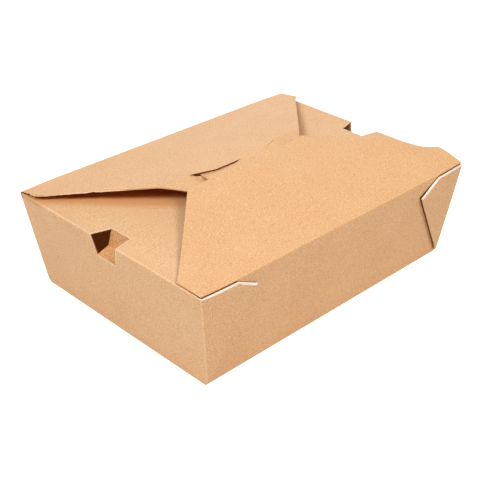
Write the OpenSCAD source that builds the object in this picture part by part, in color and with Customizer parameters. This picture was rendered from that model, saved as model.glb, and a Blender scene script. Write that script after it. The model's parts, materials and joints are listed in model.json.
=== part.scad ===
// Folded takeaway box of thin fluted kraft board, closed.
// One folded blank makes the tray, its doubled corner webs and all four lid flaps.
// Origin: centre of the base, on its underside. X runs left to right, Y front to back, Z up.

/* [Tray] */
// Length of the base, left to right
base_l = 198; // [170:1:230]
// Width of the base, front to back
base_w = 140; // [120:1:165]
// Height of the four walls
wall_h = 62; // [50:1:80]
// How far each end wall leans out at its top
end_splay = 9; // [4:0.5:14]
// How far the front and the back wall lean out at their tops
side_splay = 8; // [4:0.5:12]
// Thickness of the fluted board
board = 0.7; // [0.5:0.05:1.0]

/* [Corner webs] */
// Straight part of a web's cut edge, from the corner along the wall's top
web_edge = 25; // [14:1:30]
// How far a web's cut edge lies below the fold above it
web_drop = 0.4; // [0.3:0.1:2]
// How far a web's tip lies below the fold above it
web_tip_drop = 9.6; // [5:0.2:16]
// Height above the base at which a web starts
web_foot = 3; // [2.5:0.1:6]

/* [End flaps] */
// How far an end flap reaches in under the lid
end_flap_reach = 70; // [55:1:76]
// How far each side of an end flap draws in towards its free edge
end_flap_taper = 20; // [6:1:30]
// Gap between an end flap's side and the long wall beside it
end_flap_gap = 1.5; // [0.6:0.1:4]
// How far an end flap tips down from level, in degrees
end_flap_tip = 1.2; // [0:0.1:3]

/* [Pop-in notches] */
// Width of a notch where it crosses the fold
notch_w = 22.6; // [14:0.2:26]
// Width of a notch at its two hinge lines
notch_hinge_w = 16.2; // [8:0.2:20]
// Distance of each hinge line from the fold
notch_depth = 12.6; // [8:0.2:15]

/* [Long flaps] */
// Clearance between the end flaps and the long flaps over them, and at the front fold
lid_gap = 0.3; // [0.2:0.05:0.6]
// Depth by which a pressed crease stands out past the board
crease_depth = 0.05; // [0.02:0.01:0.1]
// Slant of the long flaps' sides, in degrees from square to the fold
side_slant = 45; // [42:0.5:47]

/* [Front flap] */
// How far the free edge lies behind the middle of the box
front_edge_y = 0.4; // [-2:0.1:2]
// Straight part of each side before it slants
front_step = 17.5; // [10:0.5:24]
// Height of the middle of the free edge above the back flap's ridge
front_over_ridge = 1.7; // [1.2:0.1:3]
// How much higher the right end stands than the middle, at the full length
front_twist_h = 4.6; // [3:0.1:5]
// How far the two ends droop below the middle, at the full length
front_droop_h = 4; // [2:0.1:5]
// Crown of the flap from fold to free edge, as a share of its height
front_crown = 0.5; // [0:0.05:0.8]
// Change of the crown from the middle to the right end
front_crown_twist = 1.0; // [0:0.05:1.1]

/* [Back flap] */
// How far the ridge, where the locking strip is creased down, lies behind the middle of the box
ridge_y = 12.7; // [11.5:0.1:15]
// Straight part of each side before it slants
back_step = 15; // [10:0.5:22]
// Height of the ridge above the fold
ridge_h = 8.5; // [7.5:0.1:10]
// Crown of the flap from fold to ridge, as a share of its height
back_crown = 0.15; // [0:0.05:0.4]
// How far the locking strip reaches in under the front flap's free edge
strip_lap = 2.7; // [1:0.1:4]
// Clearance of the locking strip under the front flap's left corner and under the tab
strip_gap = 0.3; // [0.2:0.05:0.6]

/* [Slit and tab] */
// Length of the slit, end to end along the ridge
slit_w = 70.8; // [60:0.2:76]
// Length of the tongue's straight front edge
tongue_w = 39.2; // [30:0.2:46]
// How far the tongue stands out over the strip
tongue_reach = 6.5; // [5:0.1:8]
// Width of the slit itself
slit_kerf = 0.3; // [0.2:0.05:0.5]
// Clearance at each side of the tab in the slit
tab_side_gap = 4.4; // [3:0.1:8]
// Length of the tuck tab, seen from above
tab_reach = 17; // [13:0.5:20]
// How far each side of the tab draws in towards its end
tab_taper = 5; // [4:0.5:9]
// Length and width of the slant at each corner of the tab's end
tab_corner = 4; // [2:0.5:6]
// Clearance of the tab under the tongue's edge
tab_gap = 1; // [0.6:0.1:1.5]
// How far the tab falls from the tongue's edge to its own end
tab_fall_h = 1.9; // [1:0.1:3]

/* [Hidden] */
$fn = 48;

kraft = [0.76, 0.60, 0.42];
kraft_warm = [0.79, 0.60, 0.40];
kraft_pale = [0.77, 0.62, 0.46];

// Sizes of the tray's mouth, and the lean of its walls
top_l = base_l + 2 * end_splay;
top_w = base_w + 2 * side_splay;
side_lean = atan(side_splay / wall_h);
end_lean = atan(end_splay / wall_h);

// The web fills what the base corner and the two wall corners leave of a full turn, and its fold halves that
corner_run = norm([end_splay, side_splay, wall_h]);
end_corner_angle = acos(-side_splay / corner_run);
side_corner_angle = acos(-end_splay / corner_run);
base_corner_angle = 90;
web_half_angle = (360 - base_corner_angle - end_corner_angle - side_corner_angle) / 2;
web_fold_angle = side_corner_angle - web_half_angle;
web_layers = 2;
nose_seat = 0.9;
root_overlap = board / 2;

// Level of the long flaps' upper side at their folds, and the line of each fold
crease_r = board / 2 + crease_depth;
fold_y = top_w / 2 - board / 2;
fold_z = wall_h + lid_gap + board / 2;
lid_z = fold_z + board / 2;

// Reach of the long flaps, and the half length of the front flap's free edge
front_reach = fold_y + front_edge_y;
ridge_reach = fold_y - ridge_y;
front_half = top_l / 2 - (front_reach - front_step) * tan(side_slant);
ridge_half = top_l / 2 - (ridge_reach - back_step) * tan(side_slant);

// Places of the lock's parts along Y, and the slant of the slit's ends
tongue_y = ridge_y - tongue_reach;
strip_y = front_edge_y - strip_lap;
tab_entry = tongue_y - front_edge_y;
tab_w = slit_w - 2 * tab_side_gap;
slit_slant = (slit_w - tongue_w) / 2;

// The strip's roots past the slit's ends, how far they are let into the flap, and its run down to the tab
slit_land = 1;
strip_root = 0.5;
strip_set = 0.12;
sink_run = 5;

// Grid counts of the bowed sheets
flap_cells_x = 16;
flap_cells_y = 8;
tab_cells_x = 10;
strip_cells_x = 10;
strip_cells_y = 3;
strip_end_cells = 2;
overcut = 5;

function clamp(a, low, high) = min(max(a, low), high);
function mix(a, b, t) = a + (b - a) * t;
function smooth(t) = let (k = clamp(t, 0, 1)) k * k * (3 - 2 * k);
function span(count) = [for (i = [0:count]) i / count];

// Rise of a bowed sheet at a share s of its reach, for a lift and a crown
function bowed(s, lift, crown) = lift * (s + crown * s * (1 - s));

// Height of the front flap over its fold, a distance v behind the fold
function front_height(x, v) =
    let (u = 2 * x / top_l)
    bowed(v / front_reach, ridge_h + front_over_ridge + front_twist_h * u - front_droop_h * u * u,
        front_crown + front_crown_twist * u);

// Height of the back flap and its tongue over the fold, a distance v before the back fold
function back_height(v) = bowed(v / ridge_reach, ridge_h, back_crown);

// Half length of a flap a distance v from its fold: straight for a step, then slanting in
function half_length(v, step) = top_l / 2 - max(0, v - step) * tan(side_slant);

// How far the tongue stands out past the ridge at x
function tongue_at(x) = tongue_reach * clamp((slit_w / 2 - abs(x)) / slit_slant, 0, 1);

// Heights of the tab's upper side under the tongue's edge and of the front flap's left corner
tab_entry_h = back_height(ridge_reach + tongue_reach) - board - tab_gap;
corner_h = front_height(-front_half, front_reach);

// The strip falls from the ridge until it clears the front flap's corner, and is pressed down under the tab
strip_top_h = ridge_h - strip_set;
strip_slope = (strip_top_h - corner_h + board + strip_gap) / (ridge_y - front_edge_y);
strip_sink = strip_top_h - tab_entry_h + board + strip_gap + strip_set;
function strip_height(x, y) =
    strip_top_h - strip_slope * (ridge_y - y) - strip_sink * smooth((slit_w / 2 - abs(x)) / sink_run);

// Height of the tuck tab: from the front flap's edge down to the slit, then on under the back flap
function tab_height(x, d) =
    d < tab_entry ? mix(front_height(x, front_reach), tab_entry_h, d / tab_entry)
    : tab_entry_h - tab_fall_h * (d - tab_entry) / (tab_reach - tab_entry);

// Closed sheet of the board's thickness under a grid of points, given row by row from front to back,
// with each row from left to right
module sheet(rows) {
    n_rows = len(rows);
    n_cols = len(rows[0]);
    n = n_rows * n_cols;
    upper = [for (row = rows) for (p = row) p];
    lower = [for (p = upper) p - [0, 0, board]];
    function at(i, j) = i * n_cols + j;
    function quad(a, b, c, d) = [[a, b, c], [a, c, d]];
    cells = [for (i = [0:n_rows - 2]) for (j = [0:n_cols - 2])
        [at(i, j), at(i + 1, j), at(i + 1, j + 1), at(i, j + 1)]];
    rim = concat(
        [for (j = [0:n_cols - 2]) [at(0, j), at(0, j + 1)]],
        [for (i = [0:n_rows - 2]) [at(i, n_cols - 1), at(i + 1, n_cols - 1)]],
        [for (j = [n_cols - 1:-1:1]) [at(n_rows - 1, j), at(n_rows - 1, j - 1)]],
        [for (i = [n_rows - 1:-1:1]) [at(i, 0), at(i - 1, 0)]]);
    polyhedron(concat(upper, lower), concat(
        [for (c = cells) for (f = quad(c[0], c[1], c[2], c[3])) f],
        [for (c = cells) for (f = quad(n + c[3], n + c[2], n + c[1], n + c[0])) f],
        [for (e = rim) for (f = quad(e[0], e[1], n + e[1], n + e[0])) f]));
}

// Solid between the four sloping wall planes, with the end walls and the long walls drawn in by a distance
// each, from one height to another
module wall_block(end_inset, side_inset, low, high) {
    function half_l(z) = base_l / 2 + end_splay * z / wall_h - end_inset / cos(end_lean);
    function half_w(z) = base_w / 2 + side_splay * z / wall_h - side_inset / cos(side_lean);
    function ring(z) = [for (s = [[-1, -1], [1, -1], [1, 1], [-1, 1]]) [s[0] * half_l(z), s[1] * half_w(z), z]];
    polyhedron(concat(ring(low), ring(high)),
        [[0, 1, 2, 3], [7, 6, 5, 4], [4, 5, 1, 0], [5, 6, 2, 1], [6, 7, 3, 2], [7, 4, 0, 3]]);
}

// Half of a notch: wide at the fold, narrow at its hinge line, and past either by a little
module notch_half(past_fold, past_hinge) {
    growth = (notch_w - notch_hinge_w) / 2 / notch_depth;
    hinge_half = notch_hinge_w / 2 - growth * past_hinge;
    polygon([[-past_fold, -notch_w / 2], [0, -notch_w / 2], [notch_depth + past_hinge, -hinge_half],
        [notch_depth + past_hinge, hinge_half], [0, notch_w / 2], [-past_fold, notch_w / 2]]);
}

// Base and four walls, with the lower half of each notch cut from the end walls
module tray() {
    difference() {
        wall_block(0, 0, 0, wall_h);
        wall_block(board, board, board, wall_h + overcut);
        for (side = [0, 1]) mirror([side, 0, 0])
            translate([-top_l / 2, 0, wall_h]) rotate([0, 90 - end_lean, 0])
                translate([0, 0, -overcut]) linear_extrude(2 * overcut) notch_half(overcut, 0);
    }
}

// Corner web on the left of the front wall: two layers folded flat, their folded edge a round nose
module corner_web() {
    function corner_x(z) = -base_l / 2 - end_splay * z / wall_h;
    function fold_x(z) = -base_l / 2 + z / cos(side_lean) / tan(web_fold_angle);
    inset = board / sin(web_fold_angle);
    cut_z = wall_h - web_drop;
    tip_z = wall_h - web_tip_drop;
    nose_run = (tip_z - web_foot) / cos(side_lean) / sin(web_fold_angle);
    difference() {
        intersection() {
            wall_block(0, -web_layers * board, 0, wall_h);
            rotate([90, 0, 0]) linear_extrude(top_w)
                polygon([[corner_x(web_foot) - overcut, web_foot], [fold_x(web_foot) - inset, web_foot],
                    [fold_x(tip_z) - inset, tip_z], [corner_x(wall_h) + web_edge, cut_z],
                    [corner_x(cut_z) - overcut, cut_z]]);
        }
        wall_block(root_overlap, root_overlap, -overcut, wall_h + overcut);
    }
    translate([0, -base_w / 2, 0]) rotate([90 + side_lean, 0, 0])
        translate([fold_x(web_foot) - inset, web_foot / cos(side_lean), nose_seat * board])
            rotate([0, 90, web_fold_angle]) cylinder(r = board, h = nose_run);
}

// End flap on the left, with the upper half of its notch cut out
module end_flap() {
    root_half = top_w / 2 - board - end_flap_gap;
    edge_half = root_half - end_flap_taper;
    translate([-top_l / 2, 0, wall_h]) rotate([0, end_flap_tip, 0]) translate([0, 0, -board])
        linear_extrude(board) difference() {
            polygon([[0, -root_half], [end_flap_reach, -edge_half], [end_flap_reach, edge_half], [0, root_half]]);
            notch_half(overcut, 0);
        }
}

// Pushed-in piece of the left notch: its crease is turned inwards, so it is the fold's mirror image
// in the plane through the two hinge lines
module notch_piece() {
    mid = board / 2;
    fold = [-top_l / 2 + mid, wall_h - mid];
    flap_hinge = fold + notch_depth * [cos(end_flap_tip), -sin(end_flap_tip)];
    wall_hinge = fold + notch_depth * [sin(end_lean), -cos(end_lean)];
    chord = (flap_hinge - wall_hinge) / norm(flap_hinge - wall_hinge);
    crease = 2 * (wall_hinge + chord * ((fold - wall_hinge) * chord)) - fold;
    for (hinge = [flap_hinge, wall_hinge]) {
        out = hinge - crease;
        translate([crease[0], 0, crease[1]]) rotate([0, -atan2(out[1], out[0]), 0])
            translate([0, 0, -mid]) linear_extrude(board) notch_half(mid / 2, mid);
    }
}

// Pressed crease of a long flap, along X at the front fold
module fold_bead() {
    translate([-top_l / 2, -fold_y, fold_z]) rotate([0, 90, 0]) cylinder(r = crease_r, h = top_l);
}

// Shares from -1 to 1 that mirror a list of shares from 0 to 1
function mirrored(right) = concat([for (k = [len(right) - 1:-1:1]) -right[k]], right);

// Back flap with its tongue, given row by row from the tongue to the fold
module back_panel() {
    slit_share = slit_w / 2 / ridge_half;
    tongue_share = tongue_w / 2 / ridge_half;
    shares = mirrored([0, tongue_share / 2, tongue_share, (tongue_share + slit_share) / 2, slit_share,
        (1 + slit_share) / 2, 1]);
    slanted = [for (s = span(flap_cells_y)) mix(ridge_reach, back_step, s)];
    sheet([for (v = concat(slanted, [back_step / 2, 0])) [for (f = shares)
        let (x = f * half_length(v, back_step))
        let (w = v + (v == ridge_reach ? tongue_at(x) : 0))
        [x, fold_y - w, lid_z + back_height(w)]]]);
}

// Locking strip: creased down at the ridge, slit off the tongue between the slit's ends
module locking_strip() {
    slit_half = slit_w / 2;
    draw_in = (ridge_y - strip_y) * tan(side_slant) / (ridge_half - slit_half);
    xs = mirrored(concat([for (s = span(strip_cells_x)) slit_half * s],
        [for (s = span(strip_end_cells)) mix(slit_half + slit_land, ridge_half, s)]));
    function back_y(x) = abs(x) > slit_half ? ridge_y + strip_root : ridge_y - slit_kerf - tongue_at(x);
    function edge_x(x) = x - sign(x) * draw_in * max(0, abs(x) - slit_half);
    sheet([for (s = span(strip_cells_y)) [for (x = xs)
        let (y = mix(strip_y, back_y(x), s))
        let (x_here = mix(edge_x(x), x, s))
        [x_here, y, lid_z + strip_height(x_here, min(y, ridge_y))]]]);
}

// The folded blank without its front flap
module carton() {
    color(kraft) {
        tray();
        for (side = [0, 1]) mirror([side, 0, 0]) {
            end_flap();
            notch_piece();
            for (back = [0, 1]) mirror([0, back, 0]) corner_web();
        }
    }
    color(kraft_pale) {
        intersection() {
            difference() {
                wall_block(0, 0, wall_h - overcut, fold_z);
                wall_block(board, board, wall_h - 2 * overcut, fold_z + overcut);
            }
            translate([-top_l, top_w / 2 - 2 * board, wall_h - board]) cube([2 * top_l, 3 * board, 3 * board]);
        }
        mirror([0, 1, 0]) fold_bead();
        back_panel();
        locking_strip();
    }
}

// Front flap: swings on the front fold
module front_flap() {
    slanted = [for (s = span(flap_cells_y)) mix(front_step, front_reach, s)];
    color(kraft_warm) {
        fold_bead();
        sheet([for (v = concat([0, front_step / 2], slanted)) [for (f = span(flap_cells_x))
            let (x = (2 * f - 1) * half_length(v, front_step))
            [x, v - fold_y, lid_z + front_height(x, v)]]]);
    }
}

// Tuck tab on the front flap's free edge, held under the tongue
module tuck_tab() {
    depths = [0, tab_entry / 2, tab_entry, tab_reach - tab_corner, tab_reach];
    function half(d) = tab_w / 2 - tab_taper * d / tab_reach - max(0, d - tab_reach + tab_corner);
    color(kraft_warm)
        sheet([for (d = depths) [for (f = span(tab_cells_x))
            let (x = (2 * f - 1) * half(d))
            [x, front_edge_y + d, lid_z + tab_height(x, d)]]]);
}

carton();
front_flap();
tuck_tab();
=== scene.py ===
"""Folded takeaway box of thin kraft board, closed: its finished board and its studio.

The box is one blank: a tray whose corners are folded into doubled webs on the long walls, two end
flaps with a pushed-in notch each, a back flap with a tongue over a slit, and a front flap whose tab
is tucked under that tongue. Lengths in the classes are millimetres. Meshes are in metres.
X runs left to right, Y front to back, Z up, and the origin is the centre of the base.
"""

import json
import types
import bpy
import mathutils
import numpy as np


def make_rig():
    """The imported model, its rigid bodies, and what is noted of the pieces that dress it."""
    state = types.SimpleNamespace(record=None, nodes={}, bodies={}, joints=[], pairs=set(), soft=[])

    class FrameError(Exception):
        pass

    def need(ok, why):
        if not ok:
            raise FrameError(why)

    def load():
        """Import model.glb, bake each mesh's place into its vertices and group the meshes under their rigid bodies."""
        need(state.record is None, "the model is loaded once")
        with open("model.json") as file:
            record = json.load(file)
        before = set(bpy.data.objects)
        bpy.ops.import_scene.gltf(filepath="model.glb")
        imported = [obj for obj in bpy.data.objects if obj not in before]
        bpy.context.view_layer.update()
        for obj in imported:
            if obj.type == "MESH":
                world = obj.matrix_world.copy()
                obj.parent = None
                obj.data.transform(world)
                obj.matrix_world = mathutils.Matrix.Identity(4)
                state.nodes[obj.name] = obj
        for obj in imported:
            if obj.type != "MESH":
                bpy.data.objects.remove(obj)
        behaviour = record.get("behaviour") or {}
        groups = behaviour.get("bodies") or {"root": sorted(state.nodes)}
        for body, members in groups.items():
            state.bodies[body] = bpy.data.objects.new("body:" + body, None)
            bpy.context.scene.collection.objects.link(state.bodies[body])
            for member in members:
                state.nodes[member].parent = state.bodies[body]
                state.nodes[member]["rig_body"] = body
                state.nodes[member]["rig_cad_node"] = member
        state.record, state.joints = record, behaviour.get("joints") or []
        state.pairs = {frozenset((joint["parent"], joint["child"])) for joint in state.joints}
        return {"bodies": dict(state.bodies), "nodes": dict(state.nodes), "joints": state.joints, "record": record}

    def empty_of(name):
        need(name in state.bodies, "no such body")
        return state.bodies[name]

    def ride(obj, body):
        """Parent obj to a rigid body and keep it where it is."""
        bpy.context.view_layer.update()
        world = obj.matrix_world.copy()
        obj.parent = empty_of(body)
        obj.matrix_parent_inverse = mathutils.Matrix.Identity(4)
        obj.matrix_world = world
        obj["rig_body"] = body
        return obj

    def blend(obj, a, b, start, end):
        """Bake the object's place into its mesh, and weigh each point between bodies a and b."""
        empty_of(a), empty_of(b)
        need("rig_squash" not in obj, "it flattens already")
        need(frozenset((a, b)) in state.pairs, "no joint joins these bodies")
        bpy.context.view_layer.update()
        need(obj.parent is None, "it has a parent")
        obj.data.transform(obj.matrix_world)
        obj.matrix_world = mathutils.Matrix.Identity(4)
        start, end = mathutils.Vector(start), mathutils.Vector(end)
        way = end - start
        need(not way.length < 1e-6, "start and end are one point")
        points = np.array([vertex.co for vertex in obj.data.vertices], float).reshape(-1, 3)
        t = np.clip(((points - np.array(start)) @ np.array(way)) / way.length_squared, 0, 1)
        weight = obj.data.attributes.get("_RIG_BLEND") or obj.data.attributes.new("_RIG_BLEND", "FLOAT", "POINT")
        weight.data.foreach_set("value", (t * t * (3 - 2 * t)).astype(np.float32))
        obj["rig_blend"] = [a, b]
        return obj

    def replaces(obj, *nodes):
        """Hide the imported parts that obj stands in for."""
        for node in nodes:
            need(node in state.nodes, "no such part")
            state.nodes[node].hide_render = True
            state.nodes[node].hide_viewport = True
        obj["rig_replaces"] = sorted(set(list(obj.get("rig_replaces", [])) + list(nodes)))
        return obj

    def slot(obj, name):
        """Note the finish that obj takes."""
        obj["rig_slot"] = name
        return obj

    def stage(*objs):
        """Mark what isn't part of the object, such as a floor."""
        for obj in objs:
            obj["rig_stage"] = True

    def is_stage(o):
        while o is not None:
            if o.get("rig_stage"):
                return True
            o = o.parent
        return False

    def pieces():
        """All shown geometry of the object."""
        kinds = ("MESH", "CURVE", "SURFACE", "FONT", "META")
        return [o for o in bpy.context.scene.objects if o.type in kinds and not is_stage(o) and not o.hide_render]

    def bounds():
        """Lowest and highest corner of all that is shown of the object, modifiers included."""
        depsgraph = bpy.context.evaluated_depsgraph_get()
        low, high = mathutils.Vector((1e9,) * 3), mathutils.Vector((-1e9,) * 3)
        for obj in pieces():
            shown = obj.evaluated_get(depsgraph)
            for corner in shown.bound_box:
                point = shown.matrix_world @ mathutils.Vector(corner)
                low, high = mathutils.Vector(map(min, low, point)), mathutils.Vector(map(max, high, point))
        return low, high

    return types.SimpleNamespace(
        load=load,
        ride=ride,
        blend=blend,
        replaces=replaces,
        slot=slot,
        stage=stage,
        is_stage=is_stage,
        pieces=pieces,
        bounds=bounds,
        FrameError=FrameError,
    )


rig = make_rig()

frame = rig.load()

import json
import logging
import math
from dataclasses import dataclass
from enum import Enum
from typing import Any, ClassVar, Sequence

import bmesh
import bpy
import numpy as np
from mathutils import Vector

LOG = logging.getLogger("takeaway_box")
MM = 0.001
CARTON = "carton"
FRONT_FLAP = "front_flap"
TUCK_TAB = "tuck_tab"
SIZE_FILE = "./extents.json"
HAIR = 0.1 * MM
WHITE = (1.0, 1.0, 1.0, 1.0)

Array = np.ndarray
Colour = tuple[float, float, float]
Finishes = Sequence[bpy.types.Material]


class Side(Enum):
    """Which end of the box a part is at, as the sign of its X."""

    LEFT = -1
    RIGHT = 1


class Row(Enum):
    """Which long wall a part is at, as the sign of its Y."""

    FRONT = -1
    BACK = 1


class Face(Enum):
    """Place of each finish in a piece's list of materials.

    A board's thickness adds CUT_EDGE to the place for the rims of a face, and INSIDE for its inner side.
    """

    OUTSIDE = 0
    CUT_EDGE = 1
    INSIDE = 2
    WEB_EDGE = 3
    CORNER = 4
    # The pushed-in board of the notch takes a darker copy of the kraft face: painted shade.
    PUSHED_SHADED = 7


def smooth(t: Array) -> Array:
    """Eases from 0 to 1: k squared times (3 - 2k), with k held between 0 and 1."""
    k = np.clip(t, 0.0, 1.0)
    return k * k * (3.0 - 2.0 * k)


def mix(a: Any, b: Any, t: Any) -> Any:
    """Goes from a to b as t goes from 0 to 1."""
    return a + (b - a) * t


def bell(t: Array) -> Array:
    """A hump of height 1 at 0 that dies away to both sides: e to the minus t squared."""
    return np.exp(-np.square(t))


def joined(*parts: Any) -> Array:
    """The parts of each place as the last axis, once they all have one shape."""
    return np.stack(np.broadcast_arrays(*parts), axis=-1)


def quads(rows: int, cols: int, turned: bool = False) -> Array:
    """Corners of the faces between the points of a grid, one way round or the other.

    Args:
        rows: How many rows of points there are.
        cols: How many columns.
        turned: Whether the faces look the other way.

    Returns:
        The numbers of each face's four points.
    """
    at = np.arange(rows * cols).reshape(rows, cols)
    ring = [at[:-1, :-1], at[:-1, 1:], at[1:, 1:], at[1:, :-1]]
    return np.stack(ring[::-1] if turned else ring, axis=-1).reshape(-1, 4)


def steps(*stops: float, cells: Sequence[int]) -> Array:
    """Values that run through the stops in even steps.

    Args:
        stops: The values to pass through, in order.
        cells: How many steps to take between each stop and the next.

    Returns:
        The values, each stop once.
    """
    runs = [np.linspace(a, b, n + 1)[:-1] for a, b, n in zip(stops, stops[1:], cells)]
    return np.concatenate([*runs, [stops[-1]]])


def mirrored(right: Array) -> Array:
    """The values from 0 up, with their negatives before them."""
    return np.concatenate([-right[:0:-1], right])


def round_turn(corner: Array, before: Array, after: Array, radius: float, cells: int) -> Array:
    """Points of the arc that rounds a corner between two straight legs.

    The arc leaves the first leg at radius times tan(turn / 2) before the corner, and each point is the
    centre plus the radius turned by an even share of the whole turn.

    Args:
        corner: The corner, a point in a plane.
        before: A point on the leg that runs to the corner.
        after: A point on the leg that leaves it.
        radius: Radius of the arc.
        cells: How many steps the arc has.

    Returns:
        Its points, from the first leg to the second.
    """
    come = (corner - before) / np.linalg.norm(corner - before)
    leave = (after - corner) / np.linalg.norm(after - corner)
    turn = math.atan2(come[0] * leave[1] - come[1] * leave[0], float(come @ leave))
    start = corner - come * radius * math.tan(abs(turn) / 2)
    side = np.array([-come[1], come[0]]) * math.copysign(1.0, turn)
    angle = np.linspace(0.0, abs(turn), cells + 1)[:, None]
    return start + radius * (come * np.sin(angle) + side * (1.0 - np.cos(angle)))


@dataclass(frozen=True)
class Blank:
    """Driving sizes of the folded blank, and the lengths that follow from them.

    Attributes:
        end_splay: How far the end walls lean out at their top.
        side_splay: How far the long walls lean out at their top.
        crease_z: Height at which the front wall ends and the front fold's own board begins.
        top_ease: Height over which a long wall widens to its flap's length.
        pull: How far the upper corners are drawn in.
        pull_run: Distance from the end walls at which the pull has died out.
        pull_power: Power of its growth with the height and towards the end walls.
        pull_from: Distance from the middle at which it starts across the width.
        pull_ease: Distance over which it starts.
    """

    base_l: float = 198.0
    base_w: float = 140.0
    wall_h: float = 62.0
    end_splay: float = 9.0
    side_splay: float = 8.0
    board: float = 0.7
    foot_round: float = 0.9
    fold_round: float = 0.6
    lid_gap: float = 0.3
    crease_z: float = 59.6
    top_ease: float = 0.8
    pull: float = 1.2
    pull_run: float = 27.0
    pull_power: float = 1.5
    pull_from: float = 45.0
    pull_ease: float = 30.0

    @property
    def top_l(self) -> float:
        """Length of the mouth."""
        return self.base_l + 2 * self.end_splay

    @property
    def top_w(self) -> float:
        """Width of the mouth."""
        return self.base_w + 2 * self.side_splay

    @property
    def side_lean(self) -> float:
        """Lean of the long walls, in radians."""
        return math.atan(self.side_splay / self.wall_h)

    @property
    def end_lean(self) -> float:
        """Lean of the end walls, in radians."""
        return math.atan(self.end_splay / self.wall_h)

    @property
    def corner_round(self) -> float:
        """Radius of the upright corners, which ends the foot's round exactly at the base."""
        return self.foot_round * math.tan((math.pi / 2 - self.end_lean) / 2)

    @property
    def fold_y(self) -> float:
        """Distance of the long flaps' fold lines from the middle."""
        return self.top_w / 2 - self.board / 2

    @property
    def fold_z(self) -> float:
        """Height of the long flaps' fold lines."""
        return self.wall_h + self.lid_gap + self.board / 2

    @property
    def lid_z(self) -> float:
        """Height of the long flaps' upper side at their folds."""
        return self.fold_z + self.board / 2

    @property
    def side_run(self) -> float:
        """Distance of the long flaps' folds from the middle of the base, along the flat blank."""
        return self.base_w / 2 + self.wall_h / math.cos(self.side_lean)

    def half_l(self, z: Array) -> Array:
        """Distance of an end wall's outside from the middle, at a height."""
        return self.base_l / 2 + self.end_splay * z / self.wall_h

    def half_w(self, z: Array) -> Array:
        """Distance of a long wall's outside from the middle, at a height."""
        return self.base_w / 2 + self.side_splay * z / self.wall_h

    def wall_half(self, z: Array, top: float) -> Array:
        """Half length of a long wall at a height: up to the corners' rounds, and at its top as given."""
        below = self.half_l(np.minimum(z, self.wall_h)) - self.corner_round
        return mix(below, top, smooth((z - self.wall_h + self.top_ease) / self.top_ease))

    def drawn_in(self, points: Array) -> Array:
        """Draws the four corners in, as the end flaps and webs pull on them.

        Y shrinks by the pull, times a power of the height's share of the wall, times the same power of how
        near the point is to the end wall. It eases out towards the middle of the width.

        Args:
            points: Places, the last axis of three.

        Returns:
            The places after it.
        """
        x, y, z = points[..., 0], points[..., 1], points[..., 2]
        away = self.half_l(np.minimum(z, self.wall_h)) - np.abs(x)
        near = np.clip(1.0 - away / self.pull_run, 0.0, 1.0) ** self.pull_power
        up = np.clip(z / self.wall_h, 0.0, 1.0) ** self.pull_power
        across = smooth((np.abs(y) - self.pull_from) / self.pull_ease)
        return joined(x, y - np.sign(y) * self.pull * near * up * across, z)


@dataclass
class Patch:
    """A grid of points on one side of the board.

    Attributes:
        points: Places, rows by columns by three. Along the columns and then up the rows turns outwards.
        chart: Place of each point on the flat blank, rows by columns by two, or 0 for a cut edge.
        face: The finish that the patch takes.
        wear_and_painted_light: How much each point is rubbed and lightened by painted light, from 0 to 1.
        turned: Whether the grid runs the other way round, so that its faces are turned over.
    """

    points: Array
    chart: Array | float = 0.0
    face: Face = Face.OUTSIDE
    wear_and_painted_light: Array | float = 0.0
    turned: bool = False

    def mirror(self, x: float, y: float) -> "Patch":
        """The patch with its X and Y multiplied by 1 or -1.

        Args:
            x: 1, or -1 to mirror it along X.
            y: The same along Y.

        Returns:
            The patch.
        """
        flips = (x < 0) != (y < 0)
        sign = np.array([x, y, 1.0])
        return Patch(self.points * sign, self.chart * sign[:2], self.face, self.wear_and_painted_light, self.turned != flips)


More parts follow.
